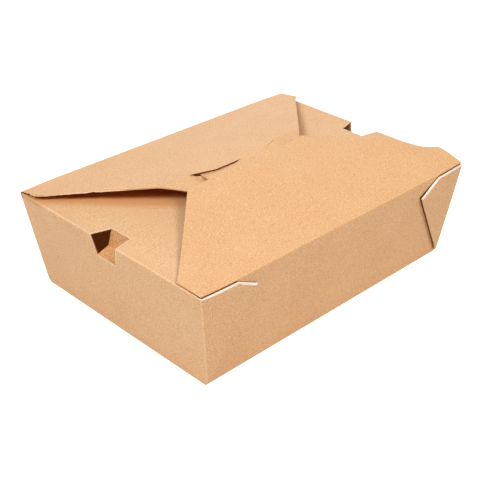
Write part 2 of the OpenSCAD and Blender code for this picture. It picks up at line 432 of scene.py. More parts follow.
@dataclass
class Board:
    """A sheet of board put together from patches, given its thickness and made an object.

    Attributes:
        patches: Its patches, which are welded where they meet.
        weld: Distance up to which points are welded.
        lip: Width of the bevel along the cut edges.
    """

    name: str
    blank: Blank
    patches: list[Patch]
    weld: float = 0.02
    lip: float = 0.16

    def _arrays(self) -> tuple[Array, ...]:
        """All patches as one list of points, quads, charts, finishes, and rubbing with painted light.

        Returns:
            Points, quads, charts, finishes, and rubbing with painted light.
        """
        made = []
        first = 0
        for patch in self.patches:
            rows, cols = patch.points.shape[:2]
            ring = first + quads(rows, cols, patch.turned)
            first += rows * cols
            made.append((
                self.blank.drawn_in(patch.points.reshape(-1, 3)),
                ring,
                np.broadcast_to(patch.chart, (rows, cols, 2)).reshape(-1, 2),
                np.full(len(ring), patch.face.value),
                np.broadcast_to(patch.wear_and_painted_light, (rows, cols)).reshape(-1),
            ))
        return tuple(np.concatenate(column) for column in zip(*made))

    def mesh(self) -> bpy.types.Mesh:
        """The welded mesh, in metres, with its chart as the UV map and its rubbing and painted light as an attribute.

        Returns:
            The mesh.
        """
        points, rings, charts, faces, wear_and_painted_light_values = self._arrays()
        mesh = bpy.data.meshes.new(self.name)
        mesh.from_pydata((points * MM).tolist(), [], rings.tolist())
        mesh.polygons.foreach_set("material_index", faces.astype(np.int32))
        uv = mesh.uv_layers.new(name="chart")
        uv.data.foreach_set("uv", (charts * MM)[rings.reshape(-1)].astype(np.float32).ravel())
        wear_and_painted_light = mesh.attributes.new("wear_and_painted_light", "FLOAT", "POINT")
        wear_and_painted_light.data.foreach_set("value", wear_and_painted_light_values.astype(np.float32))
        work = bmesh.new()
        work.from_mesh(mesh)
        bmesh.ops.remove_doubles(work, verts=work.verts, dist=self.weld * MM)
        bmesh.ops.dissolve_degenerate(work, edges=work.edges, dist=self.weld * MM / 4)
        work.to_mesh(mesh)
        work.free()
        return mesh

    def make(self, finishes: Finishes, thickness: float = 0.0) -> bpy.types.Object:
        """Makes the object.

        Args:
            finishes: The materials, in the order of Face.
            thickness: Thickness of the board under its outer side, or 0 where the patches close a solid.

        Returns:
            The object, at the origin, with its thickness in its mesh.
        """
        piece = placed(self.name, self.mesh())
        for finish in finishes:
            piece.data.materials.append(finish)
        if thickness:
            wall = piece.modifiers.new("board", "SOLIDIFY")
            wall.thickness = thickness * MM
            wall.offset = -1.0
            wall.use_even_offset = True
            wall.use_quality_normals = True
            wall.material_offset = Face.INSIDE.value
            wall.material_offset_rim = Face.CUT_EDGE.value
            lip = piece.modifiers.new("lip", "BEVEL")
            lip.limit_method = "ANGLE"
            lip.angle_limit = math.radians(50.0)
            lip.width = self.lip * MM
            lip.segments = 1
            lip.material = Face.CUT_EDGE.value
            settle(piece)
        piece.data.shade_smooth()
        piece.data.set_sharp_from_angle(angle=math.radians(32.0))
        LOG.info("%s: %d faces", piece.name, len(piece.data.polygons))
        return piece


def placed(name: str, data: Any) -> bpy.types.Object:
    """A new object in the scene, from its mesh, lamp or camera.

    Args:
        name: Its name.
        data: Its mesh, lamp or camera.

    Returns:
        The object.
    """
    made = bpy.data.objects.new(name, data)
    bpy.context.scene.collection.objects.link(made)
    return made


def aimed(name: str, data: Any, place: Sequence[float], way: Vector) -> bpy.types.Object:
    """A new lamp or camera at a place, which looks along a way.

    Args:
        name: Its name.
        data: Its lamp or camera.
        place: Where it stands, in metres.
        way: The direction that it looks in.

    Returns:
        The object.
    """
    made = placed(name, data)
    made.location = place
    made.rotation_mode = "QUATERNION"
    made.rotation_quaternion = way.to_track_quat("-Z", "Y")
    return made


def settle(piece: bpy.types.Object) -> None:
    """Applies a piece's modifiers to its mesh.

    Args:
        piece: The object, whose mesh is replaced.
    """
    shaped = piece.evaluated_get(bpy.context.evaluated_depsgraph_get())
    mesh = bpy.data.meshes.new_from_object(shaped)
    piece.modifiers.clear()
    old = piece.data
    piece.data = mesh
    bpy.data.meshes.remove(old)
    mesh.name = piece.name


@dataclass(frozen=True)
class Web:
    """Doubled corner web on a long wall.

    Its outer layer carries on from the end wall round the corner, its folded edge is a round nose,
    and its cut edge shows both layers with a fine gap between them.

    Attributes:
        edge: Distance of the cut edge's knee from the mouth's corner.
        drop: How far under the wall's top the cut edge lies, up to the knee.
        tip_drop: How far under it the tip lies.
        tip_out: How far the tip reaches out past the line of the fold.
        clear: Gap between the web and the wall.
        lift: How far its tip springs off the wall.
        lift_run: Depth under the cut edge over which the spring grows.
        ramp: Height over which it grows to its full thickness, from ramp_from up.
        foot_flat: Height up to which it doesn't spring off the wall.
        foot_ease: Height over which the spring then sets in.
        groove: Depth of the gap between the layers at the cut edge.
        crushed: How far the outer layer is crushed down at the cut edge.
        knee_crush: How much more it is crushed past the knee, as a share.
        most_crush: The most that it may be crushed, as a share of the last row's height.
        low_row: Height of the last row but one between its neighbours, as a share.
        bared: Share of the outer layer's thickness that the crushed edge takes.
        corner_cells: Columns over which the crushed edge's room grows from the corner.
        knee_cells: Columns past the knee over which the crush grows.
    """

    blank: Blank
    edge: float = 25.0
    drop: float = 0.4
    tip_drop: float = 9.6
    tip_out: float = 0.0
    foot: float = 3.0
    layer: float = 0.42
    layer_gap: float = 0.06
    clear: float = 0.50
    lift: float = 0.9
    lift_run: float = 9.0
    ramp: float = 2.6
    ramp_from: float = 0.2
    foot_flat: float = 1.0
    foot_ease: float = 8.0
    groove: float = 0.4
    crushed: float = 0.8
    knee_crush: float = 0.8
    most_crush: float = 0.92
    low_row: float = 0.1
    bared: float = 0.95
    corner_cells: float = 3.0
    knee_cells: float = 2.0
    cells_along: int = 14
    nose_cells: int = 8

    @property
    def pack(self) -> float:
        """Thickness of the two pressed layers, with the fine gap between them."""
        return 2 * self.layer + self.layer_gap

    @property
    def cut_z(self) -> float:
        """Height of the cut edge from the corner to the knee."""
        return self.blank.wall_h - self.drop

    def full_share(self, z: Array) -> Array:
        """Share of its full thickness that the web has at a height: it eases up from the foot."""
        return smooth((z - self.ramp_from) / self.ramp)

    def stand_off(self, z: Array) -> Array:
        """How far the web's outside stands off the wall at a height."""
        return (self.pack + self.clear) * self.full_share(z)

    def spring(self, share: Array, z: Array) -> Array:
        """How far the web springs off the wall.

        It grows with the square of the share of the way to the folded edge, and eases out at the cut edge
        along the corner and at the foot.
        """
        above, below = (z - self.foot_flat) / self.foot_ease, (self.cut_z - z) / self.lift_run
        return self.lift * share ** 2 * smooth(below) * smooth(above)

    @property
    def fold_angle(self) -> float:
        """Angle of the folded edge from the base line, in the wall's plane.

        The web fills what the base corner and the two wall corners leave of a full turn, and its fold
        halves that.

        Returns:
            The angle, in radians.
        """
        b = self.blank
        run = math.hypot(b.end_splay, b.side_splay, b.wall_h)
        end_corner = math.acos(-b.side_splay / run)
        side_corner = math.acos(-b.end_splay / run)
        return side_corner - (1.5 * math.pi - end_corner - side_corner) / 2

    def off_wall(self, flat: Array, height: Array) -> Array:
        """Places points of the wall's plane in the box.

        A point is the base corner plus its X along the wall, plus its Z up the leaning wall, plus a
        distance along the wall's outward normal.

        Args:
            flat: X and Z of each point on the wall, the last axis of two.
            height: Distance of each point off the wall.

        Returns:
            The points, for the web at the left of the front wall.
        """
        x, z = flat[..., 0], flat[..., 1]
        return joined(x, -self.blank.half_w(z) - height / math.cos(self.blank.side_lean), z)

    def fold_x(self, z: float) -> float:
        """X of the nose's centre line at a height."""
        rise = math.tan(self.fold_angle) * math.cos(self.blank.side_lean)
        return -self.blank.base_l / 2 + z / rise - self.pack / 2 / math.sin(self.fold_angle)

    def start_x(self, z: float) -> float:
        """X of the upright corner's side of the web at a height."""
        return -self.blank.half_l(z) + self.blank.corner_round

    def outline(self) -> tuple[Array, Array]:
        """Foot and head of the web's columns, from the corner to the nose's centre line.

        Returns:
            X and Z of the lower and the upper end of each column.
        """
        b, half = self.blank, self.cells_along // 2
        tip_z = b.wall_h - self.tip_drop
        head_x = steps(self.start_x(self.cut_z), self.edge - b.top_l / 2, self.fold_x(tip_z) + self.tip_out,
                       cells=(half, half))
        head_z = steps(self.cut_z, self.cut_z, tip_z, cells=(half, half))
        start = self.start_x(self.foot)
        foot_x = np.linspace(start, max(self.fold_x(self.foot), start), 2 * half + 1)
        return joined(foot_x, self.foot), joined(head_x, head_z)

    def rows(self, foot: Array, head: Array, rows_z: Array) -> tuple[Array, Array]:
        """Rows of the web on the wall, each column running straight from its foot to its head.

        Away from the corner the last row but one moves down, to leave room for the crushed edge.

        Args:
            foot: X and Z of each column's lower end.
            head: X and Z of its upper end.
            rows_z: Heights of the rows at the corner.

        Returns:
            X and Z of the rows, and of the line that the outer layer is crushed down to.
        """
        flat = mix(foot, head, ((rows_z - self.foot) / (self.cut_z - self.foot))[:, None, None])
        column = np.arange(len(head))
        lower = mix(flat[-3], flat[-1], self.low_row)
        flat[-2] = mix(flat[-2], lower, smooth(column / self.corner_cells)[:, None])
        past_knee = smooth((column - self.cells_along // 2) / self.knee_cells)
        crushed = self.crushed * (1.0 + self.knee_crush * past_knee)
        crushed = np.minimum(crushed / np.linalg.norm(flat[-1] - flat[-2], axis=1), self.most_crush)
        return flat, mix(flat[-2], flat[-1], 1.0 - crushed[:, None])

    def patches(self, rows_z: Array) -> list[Patch]:
        """Closed skin of the web at the left of the front wall.

        The outer skin, the nose and the inner skin are the rows' plane at three distances from the wall.
        The nose is half a circle about the fold.

        Args:
            rows_z: Heights of the corner's rows from the foot up, which the first column meets.

        Returns:
            The outer skin, the nose, the inner skin, the cut edge and the two small end faces.
        """
        foot, head = self.outline()
        flat, lip = self.rows(foot, head, rows_z)
        z = flat[..., 1]
        thick = self.pack * self.full_share(z)
        outer_h = self.stand_off(z) + self.spring(np.linspace(0.0, 1.0, len(head)), z)
        outer = self.off_wall(np.concatenate([flat[:-1], lip[None]]), outer_h)
        inner = self.off_wall(flat, outer_h - thick)

        angle = np.linspace(0.0, math.pi, self.nose_cells + 1)
        radius = thick[:, -1:] / 2
        turn = self.fold_angle
        way = np.array([math.sin(turn), -math.cos(turn) * math.cos(self.blank.side_lean)])
        nose_flat = flat[:, -1:] + (radius * np.sin(angle))[..., None] * way
        nose = self.off_wall(nose_flat, outer_h[:, -1:] - radius * (1.0 - np.cos(angle)))

        down = mix(foot, head, 1.0 - self.groove / np.linalg.norm(head - foot, axis=1)[:, None])
        first, second = self.layer, self.layer + self.layer_gap
        across = [(lip, 0.0), (head, self.bared * first), (head, first), (down, first), (down, second),
                  (head, second), (head, self.pack)]
        cut = np.stack([self.off_wall(line, outer_h[-1] - depth) for line, depth in across])
        core = (outer[-1:, -1:] + inner[-1:, -1:]) / 2
        tip = np.concatenate([np.repeat(core, self.nose_cells + 1, axis=1), nose[-1:]])
        return [
            Patch(outer, flat[..., ::-1]),
            Patch(nose, nose_flat[..., ::-1]),
            Patch(inner[:, ::-1], flat[:, ::-1, ::-1], Face.INSIDE),
            Patch(cut, face=Face.WEB_EDGE),
            Patch(tip, face=Face.WEB_EDGE, turned=True),
            Patch(np.stack([inner[0], outer[0]])),
        ]

    def make(self, side: Side, row: Row, rows_z: Array, finishes: Finishes) -> bpy.types.Object:
        """Makes the web at one corner of the box.

        Args:
            side: Which end of the box.
            row: Which long wall.
            rows_z: Heights of the corner's rows from the foot up.
            finishes: The materials, in the order of Face.

        Returns:
            The web.
        """
        name = f"web_{row.name.lower()}_{side.name.lower()}"
        patches = [p.mirror(-side.value, -row.value) for p in self.patches(rows_z)]
        return Board(name, self.blank, patches, weld=0.004).make(finishes)


@dataclass(frozen=True)
class Notch:
    """Hexagonal notch over the end wall's fold, whose board is pushed in."""

    width: float = 22.6
    hinge_width: float = 16.2
    depth: float = 12.6


@dataclass(frozen=True)
class EndPanel:
    """End wall with its upright corners and its end flap, in which the notch is pushed in.

    Attributes:
        flap_taper: How much narrower each side of the flap is at its free edge.
        flap_gap: Gap between the flap's root and the long walls.
        flap_tip: How far the flap dips, in radians.
        flap_painted_light: Painted light that makes the whole flap paler.
        painted_light_run: Distance past the fold over which that painted light sets in.
        wear_highlight_w: Half width of the rubbed lines with their painted highlight, in millimetres along the fold
            and in radians round a corner.
        crease_shift: X and Z by which the hand pushed the notch's crease past the exact mirror image.
    """

    blank: Blank
    web: Web
    notch: Notch = Notch()
    flap_reach: float = 70.0
    flap_taper: float = 20.0
    flap_gap: float = 1.5
    flap_tip: float = math.radians(1.2)
    # Painted light that makes the whole end flap paler.
    flap_painted_light: float = 0.3
    # Strength of the rubbing and painted highlight along the fold, down the upright corners and along the notch's
    # crease.
    fold_wear_and_highlight: float = 1.1
    corner_wear_and_highlight: float = 0.75
    crease_wear_and_highlight: float = 0.5
    wear_highlight_w: float = 0.6
    painted_light_run: float = 6.0
    crease_shift: tuple[float, float] = (-2.4, 0.6)
    turn_cells: int = 6
    band_cells: int = 14

    @property
    def fold(self) -> Array:
        """X and Z of the outer line of the fold between wall and flap."""
        return np.array([-self.blank.top_l / 2, self.blank.wall_h])

    @property
    def wall_way(self) -> Array:
        """Direction down the wall from the fold, in X and Z."""
        return np.array([math.sin(self.blank.end_lean), -math.cos(self.blank.end_lean)])

    @property
    def flap_way(self) -> Array:
        """Direction along the flap from the fold, in X and Z."""
        return np.array([math.cos(self.flap_tip), -math.sin(self.flap_tip)])

    def wall_rows(self) -> tuple[Array, int]:
        """X and Z of the wall's rows from the base to the fold's round, and the row of the hinge.

        Returns:
            The rows, and the number of the hinge's row.
        """
        b = self.blank
        foot = np.array([-b.base_l / 2, 0.0])
        arc = round_turn(foot, np.array([0.0, 0.0]), self.fold, b.foot_round, self.turn_cells)
        hinge = self.fold + self.notch.depth * self.wall_way
        top = self.fold_round_points()[0]
        low = mix(arc[-1], hinge, steps(0.0, 0.03, 0.3, 1.0, cells=(1, 5, 8))[1:, None])
        high = mix(hinge, top, steps(0.0, 0.9, 1.0, cells=(6, 1))[1:, None])
        return np.concatenate([arc, low, high]), len(arc) + len(low) - 1

    def fold_round_points(self) -> Array:
        """X and Z of the round between the wall and the flap."""
        return round_turn(self.fold, self.fold + self.wall_way, self.fold + self.flap_way,
                          self.blank.fold_round, self.turn_cells)

    def flap_rows(self) -> tuple[Array, int]:
        """X and Z of the rows from the fold's round to the flap's free edge, and the row of the hinge.

        Returns:
            The rows, and the number of the hinge's row.
        """
        arc = self.fold_round_points()
        hinge = self.fold + self.notch.depth * self.flap_way
        end = self.fold + self.flap_reach * self.flap_way
        near = mix(arc[-1], hinge, steps(0.0, 0.1, 1.0, cells=(1, 6))[1:, None])
        far = mix(hinge, end, steps(0.0, 1.0, cells=(16,))[1:, None])
        return np.concatenate([arc, near, far]), len(arc) + len(near) - 1

    def corner_rows_z(self) -> Array:
        """Heights of the web's rows: the upright corner's rows from the foot up, and the cut edge.

        Returns:
            The heights.
        """
        z = self.wall_rows()[0][:, 1]
        inner = z[(z > self.web.foot + 0.2) & (z < self.web.cut_z - 0.3)]
        return np.concatenate([[self.web.foot], inner, [self.web.cut_z]])

    def _bands(self, rows: Array, run: Array, edge: Array, hole: Array, middle: slice) -> list[Patch]:
        """Three bands of board side by side: before, between and after the notch's two sides.

        Args:
            rows: X and Z of each row.
            run: Distance of each row along the flat blank.
            edge: Half width of the board at each row.
            hole: Half width of the notch's opening at each row.
            middle: The rows that the middle band has.

        Returns:
            The two outer bands and the middle one.
        """
        past = run - self.fold_run
        # Rubbing and painted highlight along the fold.
        wear_and_painted_light = self.fold_wear_and_highlight * bell((past - 0.2) / self.wear_highlight_w)
        # Painted light that makes the end flap paler past the fold.
        wear_and_painted_light = wear_and_painted_light + self.flap_painted_light * smooth((past - 1.0) / self.painted_light_run)
        made = []
        for low, high, cells, kept in ((-edge, -hole, self.band_cells, slice(None)),
                                       (hole, edge, self.band_cells, slice(None)), (-hole, hole, 6, middle)):
            y = mix(low[kept, None], high[kept, None], np.linspace(0.0, 1.0, cells + 1))
            # worn holds each row's rubbing, painted highlight and painted light.
            x, z, along, worn = (part[kept, None] for part in (*rows.T, run, wear_and_painted_light))
            made.append(Patch(joined(x, y, z), joined(-along, y), wear_and_painted_light=worn, turned=True))
        return made

    @property
    def fold_run(self) -> float:
        """Distance of the fold from the middle of the base, along the flat blank."""
        return self.blank.base_l / 2 + self.blank.wall_h / math.cos(self.blank.end_lean)

    @property
    def root(self) -> float:
        """Half width of the flap at its fold."""
        return self.blank.top_w / 2 - self.blank.board - self.flap_gap

    def wall_patches(self) -> list[Patch]:
        """The end wall and its two upright corners.

        In each row the corner is a quarter circle between the wall and the long wall's plane, moved out by
        what the web stands off. Below, the radius shrinks with the foot's round until it closes on the base.

        Returns:
            The wall's three bands and the two corners.
        """
        b = self.blank
        rows, hinge = self.wall_rows()
        z = rows[:, 1]
        centre_y = b.half_w(z) + self.web.stand_off(z) / math.cos(b.side_lean) - b.corner_round
        edge = self.root * centre_y / centre_y[-1]
        run = b.base_l / 2 + z / math.cos(b.end_lean)
        hole = self.hole_half((b.wall_h - z) / math.cos(b.end_lean))
        bands = self._bands(rows, run, edge, hole, slice(0, hinge + 1))

        inset = b.half_l(z) + rows[:, 0]
        radius = np.maximum(b.corner_round - inset, 0.0)[:, None]
        angle = np.linspace(0.0, math.pi / 2, self.turn_cells + 1)
        centre_x, centre_y = (b.corner_round - b.half_l(z))[:, None], centre_y[:, None]
        side_y = mix(edge[:, None], centre_y, np.linspace(0.0, 1.0, 4)[:-1])
        x = np.concatenate([rows[:, :1] + 0 * side_y, centre_x - radius * np.cos(angle)], axis=1)
        y, flat_y = (np.concatenate([side_y, centre_y + radius * turn], axis=1)
                     for turn in (np.sin(angle), angle))
        # Rubbing and painted highlight down the middle of each upright corner.
        corner_rub_highlight = np.concatenate([0 * side_y[0], bell((angle - math.pi / 4) / self.wear_highlight_w)])
        rise = (self.web.cut_z - z[-1]) * smooth((z - z[-1] + 2.0) / 2.0)
        corner = Patch(joined(x, y, (z + rise)[:, None]), joined(-run[:, None], flat_y), Face.CORNER,
                       self.corner_wear_and_highlight * corner_rub_highlight, turned=True)
        return [*bands, corner, corner.mirror(1.0, -1.0)]

    def hole_half(self, away: Array) -> Array:
        """Half width of the notch's opening at a distance from the fold.

        It is widest at the fold, narrows evenly to the hinge line and keeps the hinge's width past that.
        """
        n = self.notch
        return mix(n.width, n.hinge_width, np.clip(away / n.depth, 0.0, 1.0)) / 2

    def flap_patches(self) -> list[Patch]:
        """The fold's round and the end flap, whose sides draw in towards the free edge.

        Returns:
            The flap's three bands.
        """
        rows, hinge = self.flap_rows()
        reach = np.maximum((rows - self.fold) @ self.flap_way, 0.0)
        edge = self.root - self.flap_taper * reach / self.flap_reach
        run = self.fold_run + reach
        run[: self.turn_cells] += np.linspace(-self.blank.fold_round, 0.0, self.turn_cells)
        return self._bands(rows, run, edge, self.hole_half(reach), slice(hinge, None))

    def notch_patches(self) -> list[Patch]:
        """The pushed-in board: the fold's mirror image in the plane through the two hinge lines.

        Returns:
            The half under the crease and the half over it.
        """
        n = self.notch
        flap_hinge = self.fold + n.depth * self.flap_way
        wall_hinge = self.fold + n.depth * self.wall_way
        chord = (flap_hinge - wall_hinge) / np.linalg.norm(flap_hinge - wall_hinge)
        foot = wall_hinge + chord * ((self.fold - wall_hinge) @ chord)
        crease = 2 * foot - self.fold + self.crease_shift
        share = np.linspace(0.0, 1.0, 9)[:, None]
        # Rubbing and painted highlight along the notch's crease.
        wear_and_painted_light = self.crease_wear_and_highlight * bell(share / 0.05)
        patches = []
        for start, end, widths in ((wall_hinge, crease, (n.hinge_width, n.width)),
                                   (crease, flap_hinge, (n.width, n.hinge_width))):
            rows = mix(start, end, share)
            y = mix(*widths, share) / 2 * np.linspace(-1.0, 1.0, 7)
            flat = joined(-self.fold_run - n.depth * share, y)
            patches.append(Patch(joined(rows[:, :1], y, rows[:, 1:]), flat, Face.PUSHED_SHADED, wear_and_painted_light, turned=True))
        return patches

    def patches(self, side: Side) -> list[Patch]:
        """All of the panel at one end of the box."""
        made = [*self.wall_patches(), *self.flap_patches(), *self.notch_patches()]
        return [p.mirror(-side.value, 1.0) for p in made]


@dataclass(frozen=True)
class LongFlap:
    """What the front flap and the back flap share: a bowed sheet whose sides step, then slant in.

    Attributes:
        slant: Angle of the slanted sides from the short straight ones.
        step: Reach from the fold at which the slant starts.
    """

    row: ClassVar[Row]
    blank: Blank
    slant: float = math.radians(45.0)
    step: float = 15.0

    def half_length(self, reach: Array) -> Array:
        """Half length of the flap at a reach from its fold: straight for a step, then slanting in."""
        return self.blank.top_l / 2 - np.maximum(0.0, reach - self.step) * math.tan(self.slant)

    def _lay(self, x: Array, reach: Array, height: Array, wear_and_painted_light: Array | float = 0.0) -> Patch:
        """A patch of the flap from its plan, its height over the fold and its rubbing and painted highlight.

        Args:
            x: Place along the fold.
            reach: Distance from the fold.
            height: Height over the fold.
            wear_and_painted_light: How much it is rubbed and lightened by a painted highlight.

        Returns:
            The patch.
        """
        b, sign = self.blank, self.row.value
        places = joined(x, sign * (b.fold_y - reach), b.lid_z + height)
        return Patch(places, joined(x, sign * (b.side_run + reach)), wear_and_painted_light=wear_and_painted_light, turned=self.row is Row.BACK)


def bowed(share: Array, lift: Array, crown: Array) -> Array:
    """Rise of a bowed sheet at a share of its reach: the lift times (s + crown times s times (1 - s))."""
    return lift * (share + crown * share * (1.0 - share))


@dataclass(frozen=True)
class BackFlap(LongFlap):
    """Back flap: it rises to the ridge, its tongue stands out over the slit, and a strip creases down.

    Attributes:
        ridge_y: Place of the ridge across the box.
        crown: How bowed the flap is, as a share of the ridge's height.
        strip_lap: How far the strip reaches under the front flap.
        strip_gap: Gap between the strip and the front flap's left corner.
        tongue_reach: How far the tongue stands out past the ridge.
        slit_kerf: Gap between the tongue and the strip.
        tab_gap: Gap between the tongue and the tab.
        seat_gap: Gap between the tab and the strip.
        shoulder: Size of the round at the ends of the slant.
        right_crisp: Share of that round that the right shoulder lacks, up to crisp_run from it.
        wave_deep: Depth of the left edge's waves, which set in over wave_in and die out over wave_out.
        wave_end: Reach at which they have died out.
        sink_run: Distance over which the strip sinks at the slit's left end.
        sink_late: How far short of the slit's right end it rises again.
    """

    row = Row.BACK
    ridge_y: float = 12.7
    ridge_h: float = 8.5
    crown: float = 0.15
    strip_lap: float = 2.7
    strip_gap: float = 0.3
    slit_w: float = 70.8
    tongue_w: float = 39.2
    tongue_reach: float = 6.5
    slit_kerf: float = 0.3
    tab_gap: float = 0.7
    seat_gap: float = 0.08
    shoulder: float = 2.4
    right_crisp: float = 0.85
    crisp_run: float = 6.0
    nick_reach: float = 38.0
    nick_deep: float = 1.5
    nick_w: float = 1.1
    wave_deep: float = 0.28
    wave_in: float = 4.0
    wave_end: float = 52.0
    wave_out: float = 12.0
    sink_run: float = 5.0
    sink_late: float = 6.0
    sink_rise: float = 2.0

    @property
    def ridge_reach(self) -> float:
        """Distance of the ridge from the back fold."""
        return self.blank.fold_y - self.ridge_y

    @property
    def ridge_half(self) -> float:
        """Half length of the ridge."""
        return float(self.half_length(self.ridge_reach))

    def height(self, reach: Array) -> Array:
        """Height over the fold at a reach from it."""
        return bowed(reach / self.ridge_reach, self.ridge_h, self.crown)

    def half_length(self, reach: Array, crisp: Array | float = 0.0) -> Array:
        """Half length of the flap, whose shoulder is a hyperbola between the step and the slant.

        Args:
            reach: Distance from the fold.
            crisp: Share of the shoulder's round that is taken away close to it.

        Returns:
            The half length.
        """
        past = reach - self.step
        near = 1.0 - smooth((np.abs(past) - 1.0) / self.crisp_run)
        rounded = self.shoulder * (1.0 - crisp * near)
        soft = (past + np.sqrt(past * past + rounded * rounded)) / 2
        return self.blank.top_l / 2 - soft * smooth(reach / self.step) * math.tan(self.slant)

    def frayed(self, reach: Array) -> Array:
        """How far the left edge is worn in: a nick, and small waves that die out at fold and ridge.

        Args:
            reach: Distance from the fold.

        Returns:
            How far the edge lies in.
        """
        nick = self.nick_deep * bell((reach - self.nick_reach) / self.nick_w)
        waves = 1.6 + np.sin(reach * 1.9) + 0.6 * np.sin(reach * 0.83 + 1.0)
        ends = smooth(reach / self.wave_in) * smooth((self.wave_end - reach) / self.wave_out)
        return nick + self.wave_deep * waves * ends

    def tongue_at(self, x: Array) -> Array:
        """How far the tongue stands out past the ridge at x: a straight front edge between two slants."""
        run = (self.slit_w - self.tongue_w) / 2
        return self.tongue_reach * np.clip((self.slit_w / 2 - np.abs(x)) / run, 0.0, 1.0)

    @property
    def tab_entry_h(self) -> float:
        """Height of the tab's upper side under the tongue's edge."""
        return float(self.height(self.ridge_reach + self.tongue_reach)) - self.blank.board - self.tab_gap

    def strip_height(self, x: Array, y: Array, corner_h: float, edge_y: float) -> Array:
        """Height of the locking strip.

        It falls evenly from the ridge until it clears the front flap's left corner, and between the slit's
        ends it is pressed down further, until it clears the tab.

        Args:
            x: Place along the ridge.
            y: Place across it.
            corner_h: Height of the front flap's left corner.
            edge_y: Place of the front flap's free edge.

        Returns:
            The height of its upper side over the fold.
        """
        b = self.blank
        slope = (self.ridge_h - corner_h + b.board + self.strip_gap) / (self.ridge_y - edge_y)
        sink = self.ridge_h - self.tab_entry_h + b.board + self.seat_gap
        left = smooth((self.slit_w / 2 + x) / self.sink_run)
        right = smooth((self.slit_w / 2 - self.sink_late - x) / self.sink_rise)
        return self.ridge_h - slope * (self.ridge_y - y) - sink * left * right

    def shares(self) -> Array:
        """Places of the columns along the ridge, as shares of its half length."""
        tongue, slit = self.tongue_w / 2 / self.ridge_half, self.slit_w / 2 / self.ridge_half
        return mirrored(steps(0.0, tongue, slit, 1.0, cells=(10, 8, 10)))

    def fold_points(self) -> Array:
        """Y and Z of the round at the back fold, from the wall to the flap.

        Returns:
            The points.
        """
        b = self.blank
        rise = float(self.height(1.0))
        wall_foot, wall_top = np.array([b.half_w(0.0), 0.0]), np.array([b.half_w(b.lid_z), b.lid_z])
        flap = np.array([b.fold_y, b.lid_z])
        wall_way, flap_way = wall_top - wall_foot, np.array([-1.0, rise])
        crossing = np.linalg.solve(np.stack([wall_way, -flap_way], axis=1), flap - wall_foot)
        corner = wall_foot + wall_way * crossing[0]
        return round_turn(corner, wall_foot, corner + flap_way, b.fold_round, 6)

    def patches(self, corner_h: float, edge_y: float) -> list[Patch]:
        """The flap, its tongue and the locking strip.

        Args:
            corner_h: Height of the front flap's left corner.
            edge_y: Place of the front flap's free edge.

        Returns:
            The three patches, joined along the ridge outside the slit.
        """
        b = self.blank
        f = self.shares()
        start = b.fold_y - self.fold_points()[-1, 0]
        reach = steps(start, 1.2, self.step, self.ridge_reach, cells=(1, 18, 64))[:, None]
        x = f * self.half_length(reach, self.right_crisp * (f > 0.0))
        x = x + self.frayed(reach) * smooth((-f - 0.86) / 0.14)
        # The last argument is rubbing and a painted highlight along the back fold.
        flap = self._lay(x, reach, self.height(reach), 0.5 * bell((reach - start) / 0.7))

        ridge_x = f * self.ridge_half
        beyond = np.abs(ridge_x) - self.slit_w / 2
        freed = ridge_x[beyond <= 0.01]
        past = self.ridge_reach + np.linspace(0.0, 1.0, 6)[:, None] * self.tongue_at(freed)
        tongue = self._lay(freed, past, self.height(past))

        back_y = self.ridge_y - self.tongue_at(ridge_x) - self.slit_kerf * smooth(-beyond / 2)
        y = mix(back_y, edge_y - self.strip_lap, np.linspace(0.0, 1.0, 9)[:, None])
        outer = np.sign(ridge_x) * np.maximum(beyond, 0.0) / (self.ridge_half - self.slit_w / 2)
        x = ridge_x - outer * (self.ridge_y - y) * math.tan(self.slant)
        return [flap, tongue, self._lay(x, b.fold_y - y, self.strip_height(x, y, corner_h, edge_y))]


